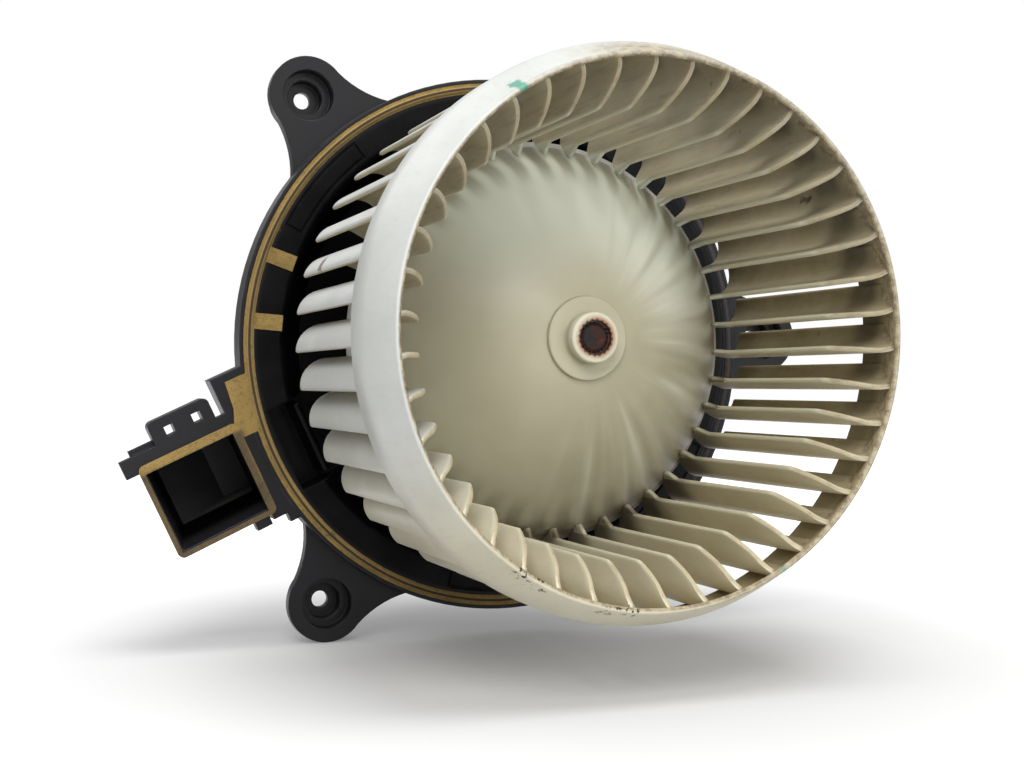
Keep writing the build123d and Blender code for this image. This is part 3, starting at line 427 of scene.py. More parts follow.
def blade_tree(sizes, finish):
    """Geometry Nodes: one curved blade from a gridded box, then a ring of them"""
    tree = bpy.data.node_groups.new("Blade ring", "GeometryNodeTree")
    bench = Bench(tree)
    named = (
        ("Count", "Int", sizes.blade_count), ("Inner Radius", "Float", sizes.inner_radius),
        ("Outer Radius", "Float", sizes.outer_radius), ("Lean", "Float", sizes.lean),
        ("Lead", "Float", sizes.lead), ("Straight", "Float", sizes.straight),
        ("Thickness", "Float", sizes.thickness), ("Roll", "Float", sizes.roll),
        ("Front", "Float", sizes.height), ("Rim Radius", "Float", sizes.rim_radius),
    )
    sockets = {}
    for label, kind, value in named:
        socket = tree.interface.new_socket(label, in_out="INPUT", socket_type="NodeSocket" + kind)
        socket.default_value = value
        sockets[label] = (socket.identifier, value)
    tree.interface.new_socket("Geometry", in_out="OUTPUT", socket_type="NodeSocketGeometry")
    given = bench.add("NodeGroupInput").outputs
    calc = bench.calc

    def scaled(vector, factor):
        feeds = {0: vector, 3: factor}
        return bench.add("ShaderNodeVectorMath", feeds, operation="SCALE").outputs[0]

    def polar(radius, angle):
        return bench.join(calc("MULTIPLY", radius, calc("COSINE", angle)), 0.0,
                          calc("MULTIPLY", radius, calc("SINE", angle)))

    # the blade's middle line runs straight, then bends away in an arc without a kink
    start = bench.join(given["Inner Radius"], 0.0, 0.0)
    heading = polar(1.0, given["Lead"])
    bend = bench.vector("ADD", start, scaled(heading, given["Straight"]))
    tip = polar(given["Outer Radius"], given["Lean"])
    way = bench.vector("SUBTRACT", tip, bend)
    left = bench.vector("CROSS_PRODUCT", heading, (0.0, 1.0, 0.0))
    bend_radius = calc(
        "DIVIDE", bench.vector("DOT_PRODUCT", way, way, output=1),
        calc("MULTIPLY", 2.0, bench.vector("DOT_PRODUCT", way, left, output=1)))
    centre = bench.vector("ADD", bend, scaled(left, bend_radius))
    outward = bench.vector("SUBTRACT", bench.vector("ADD", bend, tip), scaled(centre, 2.0))
    middle = bench.vector(
        "ADD", centre, scaled(bench.vector("NORMALIZE", outward), bend_radius))
    arc = bench.add("GeometryNodeCurveArc", {"Start": bend, "Middle": middle, "End": tip,
                                             "Resolution": 64}, mode="POINTS")
    arc_length = bench.add("GeometryNodeCurveLength", {0: arc.outputs[0]}).outputs[0]
    length = calc("ADD", given["Straight"], arc_length)

    # a box whose points lie closer together near its ends
    across, along, up = BLADE_GRID
    box = bench.add("GeometryNodeMeshCube", {
        "Size": (1.0, 1.0, 1.0), "Vertices X": across, "Vertices Y": along, "Vertices Z": up})
    spot = bench.split(bench.add("GeometryNodeInputPosition").outputs[0])
    side = calc("MULTIPLY", spot[0], 2.0)

    def spread(value):
        swing = calc("COSINE", calc("MULTIPLY", calc("ADD", value, 0.5), math.pi))
        return calc("MULTIPLY_ADD", swing, -0.5, 0.5)

    half = calc("MULTIPLY", given["Thickness"], 0.5)
    whole = calc("ADD", length, given["Thickness"])
    run = calc("SUBTRACT", calc("MULTIPLY", spread(spot[1]), whole), half)
    inside = calc("MAXIMUM", calc("MINIMUM", run, length), 0.0)
    beyond = calc("SUBTRACT", run, inside)
    sample = bench.add("GeometryNodeSampleCurve", mode="LENGTH")
    bench.feed(sample.inputs["Curves"], arc.outputs[0])
    on_arc = calc("MAXIMUM", calc("SUBTRACT", inside, given["Straight"]), 0.0)
    bench.feed(sample.inputs["Length"], on_arc)
    on_straight = scaled(heading, calc("MINIMUM", inside, given["Straight"]))
    past_bend = bench.vector("SUBTRACT", sample.outputs["Position"], bend)
    point = bench.vector("ADD", bench.vector("ADD", start, on_straight), past_bend)
    ahead = sample.outputs["Tangent"]

    def nose(distance):
        """Share of the wall that is left at a distance from where the rounding starts"""
        share = calc("MINIMUM", calc("DIVIDE", distance, half), 1.0)
        left_over = calc("SUBTRACT", 1.0, calc("POWER", share, 2.0))
        return calc("SQRT", calc("MAXIMUM", left_over, LEAST_SHARE))

    line = bench.vector("ADD", point, scaled(ahead, beyond))
    radius = bench.vector("LENGTH", line, output=1)
    from_inner = calc("SUBTRACT", radius, calc("SUBTRACT", given["Inner Radius"], half))
    # the front edge climbs outwards to the band, and the back edge falls to it
    climb = calc("MULTIPLY_ADD", from_inner, FRONT_SLOPE, -FRONT_DROP)
    heel = calc("MAXIMUM", calc("SUBTRACT", 1.0, calc("DIVIDE", from_inner, HEEL_LENGTH)), 0.0)
    climb = calc("SUBTRACT", climb, calc("MULTIPLY", calc("POWER", heel, 2.0), HEEL_DROP))
    climb = calc("SMOOTH_MIN", climb, -TIP_DROP, CORNER_EASE)
    cone_radius = calc("SUBTRACT", given["Rim Radius"], BAND_WALL / 2)
    cone = calc("MULTIPLY", calc("SUBTRACT", cone_radius, radius), BAND_SLOPE)
    top = calc("ADD", given["Front"], calc("SMOOTH_MIN", climb, cone, BAND_EASE))
    bottom = calc("SUBTRACT", PLATE_BACK, calc("MULTIPLY", from_inner, BACK_SLOPE))
    height = bench.add("ShaderNodeMix", data_type="FLOAT")
    for key, value in ((0, spread(spot[2])), (2, bottom), (3, top)):
        bench.feed(height.inputs[key], value)
    height = height.outputs[0]
    to_end = calc("MINIMUM", calc("SUBTRACT", top, height), calc("SUBTRACT", height, bottom))
    rounding = calc("MULTIPLY", nose(calc("ABSOLUTE", beyond)),
                    nose(calc("MAXIMUM", calc("SUBTRACT", half, to_end), 0.0)))
    sideways = bench.vector("NORMALIZE", bench.vector("CROSS_PRODUCT", ahead, (0.0, 1.0, 0.0)))
    # near the plate the inner edge runs out over it in a fillet
    rise = calc("DIVIDE", calc("SUBTRACT", FILLET_TOP, height), FILLET_RISE)
    fillet = calc("MULTIPLY", calc("POWER", calc("MAXIMUM", rise, 0.0), 2.0), FILLET_REACH)
    on_plate = calc("MULTIPLY_ADD", calc("SUBTRACT", height, PLATE_TOP), PLATE_RUN, -PLATE_SINK)
    reach = calc("MAXIMUM", calc("MINIMUM", fillet, on_plate), 0.0)
    share = calc("MAXIMUM", calc("SUBTRACT", 1.0, calc("DIVIDE", inside, given["Straight"])), 0.0)
    line = bench.vector("SUBTRACT", line, scaled(heading, calc("MULTIPLY", reach, share)))
    thick = scaled(sideways, bench.product(side, half, rounding))
    lifted = bench.vector("ADD", bench.vector("ADD", line, thick),
                          bench.join(0.0, calc("MULTIPLY", height, -1.0), 0.0))
    blade = bench.add("GeometryNodeSetPosition", {"Geometry": box.outputs["Mesh"],
                                                  "Position": lifted})
    smooth = bench.add("GeometryNodeSetShadeSmooth", {"Geometry": blade.outputs[0]})

    # one blade on each point, turned a step further
    points = bench.add("GeometryNodePoints", {"Count": given["Count"]})
    index = bench.add("GeometryNodeInputIndex").outputs[0]
    step = calc("DIVIDE", math.tau, given["Count"])
    turn = calc("MULTIPLY", calc("ADD", calc("MULTIPLY", index, step), given["Roll"]), -1.0)
    ring = bench.add("GeometryNodeInstanceOnPoints", {
        "Points": points.outputs[0], "Instance": smooth.outputs[0],
        "Rotation": bench.join(0.0, turn, 0.0)})
    real = bench.add("GeometryNodeRealizeInstances", {"Geometry": ring.outputs[0]})
    dressed = bench.add("GeometryNodeSetMaterial", {"Geometry": real.outputs[0],
                                                    "Material": finish})
    end = bench.add("NodeGroupOutput")
    tree.links.new(dressed.outputs[0], end.inputs[0])
    return tree, sockets


def grown(name, tree, sockets):
    """Runs a tree on an empty mesh and gives its result as a plain mesh"""
    carrier = bpy.data.objects.new(name, bpy.data.meshes.new(name))
    bpy.context.scene.collection.objects.link(carrier)
    modifier = carrier.modifiers.new(name, "NODES")
    modifier.node_group = tree
    for identifier, value in sockets.values():
        modifier[identifier] = value
    seen = carrier.evaluated_get(bpy.context.evaluated_depsgraph_get())
    mesh = bpy.data.meshes.new_from_object(seen)
    carrier.modifiers.remove(modifier)
    bpy.data.objects.remove(carrier)
    return mesh


def arc_points(centre, radius, start, end, steps):
    """Points of an arc in the plane of radius and height, angles in degrees"""
    return [
        (centre[0] + radius * math.cos(math.radians(start + (end - start) * i / steps)),
         centre[1] + radius * math.sin(math.radians(start + (end - start) * i / steps)))
        for i in range(steps + 1)]


def lathe(mesh, outline, segments):
    """Adds a closed ring, turned from radius and height pairs, to an open bmesh"""
    rings = []
    for i in range(segments):
        angle = math.tau * i / segments
        rings.append([mesh.verts.new((r * math.cos(angle), -h, r * math.sin(angle)))
                      for r, h in outline])
    for i in range(segments):
        here, there = rings[i], rings[(i + 1) % segments]
        for j in range(len(outline)):
            k = (j + 1) % len(outline)
            mesh.faces.new((here[j], here[k], there[k], there[j]))


def band_outline(sizes):
    """The band in section, with a rolled front edge"""
    front, rim, band = sizes.height, sizes.rim_radius, sizes.band_radius
    shoulder, end, half = front - BAND_CONE_DEPTH, front - BAND_DEPTH, BAND_WALL / 2
    outer = [(band, shoulder - 3.0 * MM), (band - 0.15 * MM, shoulder - 0.8 * MM),
             (band - 0.6 * MM, shoulder + 1.0 * MM)]
    lip = arc_points((rim - half, front - half), half, 20, 180, 8)
    inner = [(band - BAND_WALL - 0.6 * MM, shoulder + 1.0 * MM),
             (band - BAND_WALL, shoulder - 3.0 * MM)]
    heel = arc_points((band - half, end + 0.1 * MM), half, 190, 350, 6)
    return outer + lip + inner + heel


def sagitta(start, end, rise, steps):
    """Points of an arc between two points that rises to the left of the way between them"""
    start, end = Vector(start), Vector(end)
    half = (end - start).length / 2
    radius = (half * half + rise * rise) / (2 * abs(rise))
    ahead = (end - start).normalized()
    left = Vector((-ahead.y, ahead.x)) * math.copysign(1, rise)
    centre = (start + end) / 2 + left * (abs(rise) - radius)
    reach = math.asin(half / radius)
    return [tuple(centre + left * radius * math.cos(a) + ahead * radius * math.sin(a))
            for a in (reach * (2 * i / steps - 1) for i in range(steps + 1))]


def plate_outline(sizes):
    """The domed plate and the hub in section"""
    edge = sizes.inner_radius + 0.4 * MM
    bulge = 4.5 * MM
    bore, recess, recess_floor = 4.45 * MM, 4.8 * MM, 72.4 * MM
    sleeve, sleeve_end, sleeve_root = 9.0 * MM, 56.0 * MM, 64.9 * MM
    step_radius, step_root = 12.3 * MM, 66.9 * MM
    under = sagitta((sleeve, sleeve_root), (edge, PLATE_BACK), bulge, 28)
    over = sagitta((edge, PLATE_BACK + PLATE_WALL), (step_radius, step_root), -bulge, 28)
    nose = arc_points((edge - 0.3 * MM, PLATE_BACK + PLATE_WALL / 2), PLATE_WALL / 2, -80, 80, 6)
    step = arc_points((11.7 * MM, 67.8 * MM), 0.6 * MM, 0, 90, 4)
    boss_foot = arc_points((8.3 * MM, 69.4 * MM), 1.0 * MM, 270, 180, 4)
    boss = arc_points((6.5 * MM, 72.9 * MM), 0.8 * MM, 0, 90, 4)
    lip = arc_points((5.1 * MM, 73.4 * MM), 0.3 * MM, 90, 180, 2)
    return ([(bore, sleeve_end), (sleeve, sleeve_end)] + under[:-1] + nose + over[1:]
            + step + boss_foot + boss + lip + [(recess, recess_floor), (bore, recess_floor)])


# Tints of the wheel's plastic, of what lies on it, and of the painted light and painted shade on it
CLEAN_PATCH = (0.60, 0.615, 0.585)
LIT_CREAM_PLASTIC = (0.82, 0.77, 0.59)
LIT_CREAM_PATCH = (0.74, 0.69, 0.52)
FAINT_STREAK = (0.40, 0.35, 0.24)
DUSTY_PATCH = (0.58, 0.51, 0.34)
DUST_STREAK = (0.19, 0.145, 0.08)
DEEP_DUST_AND_SHADE = (0.26, 0.205, 0.115)
CORNER_DIRT_AND_SHADE = (0.05, 0.035, 0.020)
INNER_EDGE_HIGHLIGHT = (0.66, 0.62, 0.46)
CONE_DARK, CONE_LIGHT = (0.22, 0.17, 0.10), (0.46, 0.39, 0.25)
FOOT_DIRT_AND_SHADE = (0.075, 0.055, 0.030)
HUB_PATCH = (0.47, 0.44, 0.305)
HUB_LIT = (0.84, 0.87, 0.74)
BOSS_PLASTIC = (0.90, 0.87, 0.70)
ROOT_SHADE = (0.25, 0.22, 0.14)
RAY_DARK, RAY_LIGHT = (0.34, 0.31, 0.21), (0.80, 0.79, 0.64)
ROOT_GRIME_AND_SHADE = (0.13, 0.095, 0.055)
RUST_STAIN = (0.28, 0.10, 0.02)
BURNT, BURNT_RUST = (0.012, 0.006, 0.005), (0.12, 0.034, 0.008)
GREEN_PAINT, DARK_GREEN_PAINT = (0.03, 0.30, 0.20), (0.05, 0.30, 0.22)
RED_BROWN = (0.12, 0.03, 0.02)
BLACK_NICK = (0.02, 0.015, 0.012)
DARK_SPOT = (0.05, 0.03, 0.02)
RIM_CRUMBS = (0.022, 0.017, 0.013)
SPECK = (0.12, 0.08, 0.05)


class WheelCoat:
    """The wheel's white plastic: clean outside, dusty inside, a cream plate, and marks, with
    painted light and painted shade laid over them
    """

    def __init__(self, sizes, colours):
        self.sizes, self.colours = sizes, colours
        self.made, self.bench = material("wheel_plastic")
        place = use(self.bench, group("wheel"),
                    {"Blades": float(sizes.blade_count), "Roll": sizes.roll})
        grains = use(self.bench, group("grain"), {"Grain Scale": 1100.0, "Patch Scale": 38.0})
        self.radius, self.height, self.angle = place["Radius"], place["Height"], place["Angle"]
        self.inward, self.blade_step = place["Inward"], place["Blade Step"]
        self.fine, self.patches, self.specks = grains["Fine"], grains["Patches"], grains["Specks"]
        self.spot = self.bench.add("ShaderNodeTexCoord").outputs["Object"]
        self.clouds = self.bench.noise(self.spot, 55.0, 6.0, 0.65)
        self.film = self.dust_film()

    def turned(self, degrees):
        return self.bench.calc("SUBTRACT", self.angle, math.radians(degrees))

    def toward(self, degrees, low, high):
        """High on the side of the wheel that lies at an angle, low on the other sides"""
        return self.bench.ramp(self.bench.calc("COSINE", self.turned(degrees)), low, high)

    def ring(self, low, high):
        """Mask over the radius, in millimetres"""
        return self.bench.ramp(self.radius, low * MM, high * MM)

    def level(self, low, high):
        """Mask over the height, in millimetres"""
        return self.bench.ramp(self.height, low * MM, high * MM)

    def dust_film(self):
        """Dust holds on the inner faces and on the rim's right and upper side"""
        calc, front = self.bench.calc, self.sizes.height
        lip = calc("MULTIPLY", self.bench.ramp(self.height, front - 1.2 * MM, front - 0.3 * MM),
                   self.toward(20, -0.5, 0.2))
        crown = calc("MULTIPLY", self.toward(70, 0.72, 0.92), self.level(101, 113))
        edge = calc("MULTIPLY", calc("MAXIMUM", lip, crown), 0.8)
        thickness = calc("MULTIPLY_ADD", self.clouds, 0.5, 0.72)
        return calc("MULTIPLY", calc("MAXIMUM", self.inward, edge), thickness, clamp=True)

    def skin(self):
        """The blades and the band"""
        bench, sizes, clouds = self.bench, self.sizes, self.clouds
        calc, ramp, lay = bench.calc, bench.ramp, bench.lay
        drawn = bench.noise(bench.vector("MULTIPLY", self.spot, (1.0, 0.10, 1.0)), 520.0, 5.0, 0.7)
        streaks = calc("MULTIPLY", ramp(drawn, 0.46, 0.70), calc("MULTIPLY_ADD", clouds, 0.6, 0.05))
        clean = lay(tuple(self.colours.clean_plastic), CLEAN_PATCH, self.patches)
        # painted light: the lower right side is laid in a lighter cream, which stands for yellowed
        # plastic and for the light that falls there
        lit_cream = lay(LIT_CREAM_PLASTIC, LIT_CREAM_PATCH, self.patches)
        clean = lay(clean, lit_cream, self.toward(-62, -0.25, 0.45))
        clean = lay(clean, FAINT_STREAK, streaks, 0.28)

        # dust lies on the inner faces, and painted shade with dust darkens them towards the band's
        # corner, most of all on the upper right, where shade falls
        dusty = lay(tuple(self.colours.dusty_plastic), DUSTY_PATCH, self.patches)
        dusty = lay(dusty, DUST_STREAK, streaks)
        # painted shade is laid heaviest on the upper right side
        shaded = self.toward(42, 0.25, 0.85)
        dusty = lay(dusty, DEEP_DUST_AND_SHADE, self.ring(65.5, 74.5), calc("MULTIPLY_ADD", clouds, 0.5, 0.5),
                    calc("MULTIPLY_ADD", shaded, 0.65, 0.35))
        dusty = lay(dusty, CORNER_DIRT_AND_SHADE, self.level(88, 96), self.level(106, 101),
                    self.ring(71, 74.5), calc("MULTIPLY_ADD", shaded, 0.72, 0.08))
        # painted highlight: the blades' inner edges are laid lighter
        dusty = lay(dusty, INNER_EDGE_HIGHLIGHT, self.ring(61.6, 60.5))
        # the cone inside the rim is lighter than the band behind it, in a mottle of two tints
        from_cone = calc("ADD", calc("SUBTRACT", self.radius, sizes.rim_radius - BAND_WALL),
                         calc("DIVIDE", calc("SUBTRACT", self.height, sizes.height), BAND_SLOPE))
        cone_mottle = ramp(bench.noise(self.spot, 420.0, 5.0, 0.75), 0.40, 0.60)
        dusty = lay(dusty, lay(CONE_DARK, CONE_LIGHT, cone_mottle),
                    ramp(from_cone, -1.6 * MM, -0.5 * MM), self.level(104, 107))

        # dirt and painted shade lie thick at the foot of the lower blades
        uneven = calc("MULTIPLY_ADD", clouds, 16.0 * MM, self.height)
        return lay(lay(clean, dusty, self.film), FOOT_DIRT_AND_SHADE, ramp(uneven, 62 * MM, 44 * MM),
                   self.ring(73, 66), self.toward(-72, 0.45, 0.9), 0.85)

    def plate(self, under):
        """The plate and the hub: cream, painted lighter at the upper right as if lit, with a
        painted shade scallop at each root
        """
        bench, clouds = self.bench, self.clouds
        calc, ramp, lay = bench.calc, bench.ramp, bench.lay
        cream = lay(tuple(self.colours.hub_plastic), HUB_PATCH, self.patches)
        # painted light: the upper right of the plate is laid lighter
        cream = lay(cream, HUB_LIT, self.toward(80, -0.1, 0.9), self.ring(12, 42))
        slant = calc("MULTIPLY_ADD", self.ring(60, 52), 0.25, self.blade_step)
        wave = calc("ABSOLUTE", calc("SUBTRACT", calc("FRACT", slant), 0.5))
        cream = lay(cream, ROOT_SHADE, ramp(wave, 0.44, 0.12), self.ring(46, 58), 0.75)
        # soft rays run outwards on the right side
        around = bench.join(calc("MULTIPLY", self.angle, 7.0), calc("MULTIPLY", self.radius, 16.0),
                            0.0)
        rays = bench.noise(around, 1.0, 1.5, 0.4)
        fade = calc("MULTIPLY", self.ring(14, 36), self.toward(-12, -0.1, 0.7))
        cream = lay(cream, RAY_DARK, fade, ramp(rays, 0.48, 0.72, 0.0, 0.5))
        cream = lay(cream, RAY_LIGHT, fade, ramp(rays, 0.50, 0.26, 0.0, 0.8))
        # dirt and painted shade lie at the plate's edge by the blade roots, heavier on the lower
        # side
        low = calc("MULTIPLY_ADD", self.toward(-62, 0.2, 0.8), 0.55, 0.35)
        cream = lay(cream, ROOT_GRIME_AND_SHADE, self.ring(54, 60), ramp(clouds, 0.38, 0.58), low)
        cream = lay(cream, BOSS_PLASTIC, self.ring(8.2, 7.2), self.level(70, 72), 0.75)
        cream = lay(cream, RUST_STAIN, self.ring(7.2, 4.6), self.level(70, 73),
                    ramp(clouds, 0.40, 0.55))
        # the recess round the shaft is black with rust that runs out in teeth
        teeth = calc("SINE", calc("MULTIPLY", self.angle, 20.0))
        uneven = calc("MULTIPLY_ADD", clouds, 1.2 * MM, self.radius)
        jagged = calc("MULTIPLY_ADD", teeth, 0.22 * MM, uneven)
        rust = lay(BURNT, BURNT_RUST, ramp(self.fine, 0.42, 0.6))
        cream = lay(cream, rust, ramp(jagged, 6.1 * MM, 5.6 * MM), self.level(70, 71))
        return lay(under, cream, self.ring(60.24, 60.1), self.level(74.5, 73.9))

    def marks(self, colour):
        """Dabs of paint and dirt, each at its own place"""
        bench = self.bench
        calc, ramp, lay = bench.calc, bench.ramp, bench.lay
        torn = bench.noise(self.spot, 310.0, 4.0, 0.7)
        torn_height = calc("MULTIPLY_ADD", calc("SUBTRACT", torn, 0.5), 5.0 * MM, self.height)
        inner = calc("MULTIPLY", self.inward, 0.9)
        outer = calc("MULTIPLY", self.ring(69, 72), 0.8)
        # angle and half width in degrees, heights in millimetres, tint and strength
        for degrees, half_width, low, high, paint_colour, strength in (
                (123.6, 1.6, 112.0, 121.0, GREEN_PAINT, 0.8),
                (-60.8, 0.8, 114.0, 121.0, DARK_GREEN_PAINT, 0.6),
                (21.8, 0.4, 113.5, 121.0, BLACK_NICK, 1.0),
                (33.5, 0.9, 84.0, 90.0, DARK_SPOT, inner),
                (36.2, 0.8, 78.0, 84.0, DARK_SPOT, inner),
                (164.0, 2.2, 44.0, 49.0, RED_BROWN, outer)):
            away = calc("ABSOLUTE", self.turned(degrees))
            ragged = calc("MULTIPLY_ADD", torn, math.radians(3.0), away)
            colour = lay(
                colour, paint_colour,
                ramp(ragged, math.radians(half_width + 1.5), math.radians(half_width + 0.6)),
                ramp(torn_height, low * MM, (low + 0.6) * MM),
                ramp(torn_height, high * MM, (high - 0.6) * MM), strength)
        crumbs = ramp(bench.noise(self.spot, 640.0, 3.0, 0.6), 0.56, 0.61)
        for degrees, half_width in ((-100.5, 6.0), (-121.0, 5.0)):
            away = calc("ABSOLUTE", self.turned(degrees))
            here = ramp(away, math.radians(half_width), math.radians(half_width - 2.0))
            colour = lay(colour, RIM_CRUMBS, self.level(112.0, 115.5), crumbs, here)
        return lay(colour, SPECK, self.specks, self.film, 0.5)

    def finish(self):
        """Lays the coats over each other and ends the material"""
        calc = self.bench.calc
        colour = self.marks(self.plate(self.skin()))
        rough = calc("MULTIPLY_ADD", self.film, 0.22, 0.40)
        lumps = calc("ADD", calc("MULTIPLY", self.fine, 0.5),
                     calc("MULTIPLY", self.clouds, self.film))
        close(self.bench, colour, rough, lumps, 0.22, 0.3 * MM, IOR=1.5)
        return self.made


class BLOWER_OT_wheel(bpy.types.Operator):
    """Builds the wheel from its blades, band, plate and hub in place of its solid"""

    bl_idname = "blower.wheel"
    bl_label = "Build the wheel"

    band_steps = 192
    plate_steps = 160
    rib_count = 6
    smooth_below = math.radians(38)

    def execute(self, context):
        sizes, colours = context.scene.blower_wheel, context.scene.blower_colours
        finish = WheelCoat(sizes, colours).finish()
        tree, sockets = blade_tree(sizes, finish)
        shell = bmesh.new()
        lathe(shell, band_outline(sizes), self.band_steps)
        lathe(shell, plate_outline(sizes), self.plate_steps)
        for i in range(self.rib_count):
            self.rib(shell, math.tau * i / self.rib_count)
        bmesh.ops.recalc_face_normals(shell, faces=shell.faces[:])
        shell.from_mesh(grown("blades", tree, sockets))
        mesh = bpy.data.meshes.new("wheel")
        shell.to_mesh(mesh)
        shell.free()
        mesh.materials.append(finish)
        mesh.polygons.foreach_set("material_index", [0] * len(mesh.polygons))
        wheel = bpy.data.objects.new("squirrel_cage_wheel", mesh)
        context.scene.collection.objects.link(wheel)
        with context.temp_override(object=wheel, active_object=wheel, selected_objects=[wheel],
                                   selected_editable_objects=[wheel]):
            bpy.ops.object.shade_smooth_by_angle(angle=self.smooth_below)
        for modifier in list(wheel.modifiers):
            wheel.modifiers.remove(modifier)
        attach(wheel, "rotor")
        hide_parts("impeller_wheel")
        return {"FINISHED"}

    def rib(self, shell, angle):
        """One stiffening rib between the hub's sleeve and the plate"""
        corners = ((8.2, 56.8), (8.2, 66.1), (24.3, 60.0))
        half_wall = 0.8
        cosine, sine = math.cos(angle), math.sin(angle)
        sides = []
        for side in (-half_wall, half_wall):
            ring = []
            for r, h in corners:
                x = r * cosine - side * sine
                z = r * sine + side * cosine
                ring.append(shell.verts.new((x * MM, -h * MM, z * MM)))
            sides.append(ring)
        shell.faces.new(sides[0])
        shell.faces.new(list(reversed(sides[1])))
        for i in range(3):
            j = (i + 1) % 3
            shell.faces.new((sides[0][i], sides[1][i], sides[1][j], sides[0][j]))


# Flange and seal

# the black of the painted shade in the flange's duct and well
SHADE_BLACK = (0.0006, 0.0006, 0.0006)

class BLOWER_OT_flange(bpy.types.Operator):
    """Gives the mounting flange and the rear housing their moulded finish, with painted shade in
    the flange's duct and well
    """

    bl_idname = "blower.flange"
    bl_label = "Finish the flange and the rear housing"

    def execute(self, context):
        black = tuple(context.scene.blower_colours.black_moulding)
        flange = moulded(
            "flange_moulding", black, (0.010, 0.009, 0.012), (0.10, 0.09, 0.08), 0.33,
            dust_amount=0.07, wear=(0.085, 0.08, 0.085), wear_amount=0.6, grain=1700.0,
            edge=0.0006)
        self.paint_shade(flange)
        paint("mounting_flange", flange)
        paint("rear_housing", moulded(
            "housing_moulding", (0.020, 0.020, 0.022), (0.030, 0.029, 0.030), (0.13, 0.115, 0.10),
            0.45, dust_amount=0.3, wear=(0.09, 0.09, 0.09), grain=1500.0))
        return {"FINISHED"}

    def paint_shade(self, finish):
        """Painted shade: deep black in the duct and in the well round the motor, where little light
        comes
        """
        bench = Bench(finish.node_tree, fresh=False)
        calc, ramp = bench.calc, bench.ramp
        shader = next(n for n in bench.tree.nodes if n.type == "BSDF_PRINCIPLED")
        spot = bench.add("ShaderNodeTexCoord").outputs["Object"]
        x, y, z = bench.split(spot)
        away = bench.vector("SUBTRACT", spot, DUCT_CENTRE)
        outward, across = (
            calc("ABSOLUTE", bench.vector("DOT_PRODUCT", away, way, output=1))
            for way in (DUCT_OUTWARD, DUCT_ACROSS))
        duct = bench.product(ramp(calc("MAXIMUM", outward, across), 15.6 * MM, 14.9 * MM),
                             ramp(y, 3.0 * MM, 8.0 * MM), ramp(y, 33.0 * MM, 32.2 * MM))
        radius = bench.vector("LENGTH", bench.join(x, 0.0, z), output=1)
        # this noise makes the painted shade in the well patchy
        worn = bench.noise(spot, 70.0, 5.0, 0.65)
        well = calc("MULTIPLY", ramp(radius, 84.0 * MM, 81.5 * MM),
                    calc("MULTIPLY_ADD", worn, -0.6, 1.1))
        painted_shade = calc("MAXIMUM", duct, well, clamp=True)
        base, shine = shader.inputs["Base Color"], shader.inputs["Specular IOR Level"]
        bench.feed(base, bench.lay(base.links[0].from_socket, SHADE_BLACK, painted_shade))
        bench.feed(shine, calc("MULTIPLY_ADD", painted_shade, -0.20, MOULDED_SHINE))


# Tints of the foam's bead, its pores and the dirt on it
BEAD_SKIN = (0.42, 0.28, 0.09)
PORE = (0.12, 0.07, 0.02)
BLOTCH = (0.085, 0.052, 0.016)
BLACK_DIRT = (0.012, 0.010, 0.008)
DARK_GREY_TINT = (0.030, 0.026, 0.028)
BROWN_STAIN = (0.05, 0.035, 0.02)
BEAD_RADIUS = 84.85 * MM


class BLOWER_OT_seal(bpy.types.Operator):
    """Gives the foam seal its open grain, its skin and its stains"""

    bl_idname = "blower.seal"
    bl_label = "Finish the seal"

    def execute(self, context):
        foam = tuple(context.scene.blower_colours.foam)
        made, bench = material("seal_foam")
        calc, ramp, lay = bench.calc, bench.ramp, bench.lay
        spot = bench.add("ShaderNodeTexCoord").outputs["Object"]
        grains = use(bench, group("grain"), {"Grain Scale": 2600.0, "Patch Scale": 70.0,
                                             "Speck Scale": 420.0})
        cells = bench.add("ShaderNodeTexVoronoi", {"Vector": spot, "Scale": 2400.0})
        pores = ramp(cells.outputs["Distance"], 0.10, 0.6)
        x, y, z = bench.split(spot)
        radius = bench.vector("LENGTH", bench.join(x, 0.0, z), output=1)
        clouds = bench.noise(spot, 60.0, 6.0, 0.7)
        colour = lay(foam, tuple(0.72 * part for part in foam), grains["Patches"])
        colour = lay(colour, BEAD_SKIN, ramp(calc("MULTIPLY", y, -1.0), 0.3 * MM, 1.2 * MM), 0.6)
        colour = lay(colour, PORE, calc("SUBTRACT", 1.0, pores), 0.25)
        blotches = ramp(bench.noise(spot, 780.0, 4.0, 0.7), 0.50, 0.68)
        colour = lay(colour, BLOTCH, blotches, 0.45)
        # a black line of dirt lies beside the bead
        line = calc("ABSOLUTE", calc("SUBTRACT", radius, BEAD_RADIUS))
        colour = lay(colour, BLACK_DIRT, ramp(line, 0.55 * MM, 0.25 * MM), 0.9)
        # the side behind the wheel is laid darker grey, and so are the duct's lower edges
        away = calc("MULTIPLY_ADD", clouds, 0.5, calc("DIVIDE", x, radius))
        behind = calc("MULTIPLY", ramp(away, 0.75, 0.95), ramp(clouds, 0.72, 0.60))
        across = bench.vector("DOT_PRODUCT", spot, DUCT_ACROSS, output=1)
        low = bench.product(ramp(radius, 90 * MM, 92 * MM), ramp(across, 13.0 * MM, 11.5 * MM),
                            calc("MULTIPLY_ADD", clouds, 0.5, 0.45))
        colour = lay(colour, DARK_GREY_TINT, calc("MAXIMUM", behind, low))
        colour = lay(colour, BROWN_STAIN, ramp(clouds, 0.54, 0.68), 0.6)
        lumps = calc("ADD", grains["Fine"], pores)
        close(bench, colour, calc("MULTIPLY_ADD", pores, 0.15, 0.78), lumps, 0.5, 0.3 * MM,
              Sheen_Weight=0.1)
        paint("flange_seal", made)
        return {"FINISHED"}


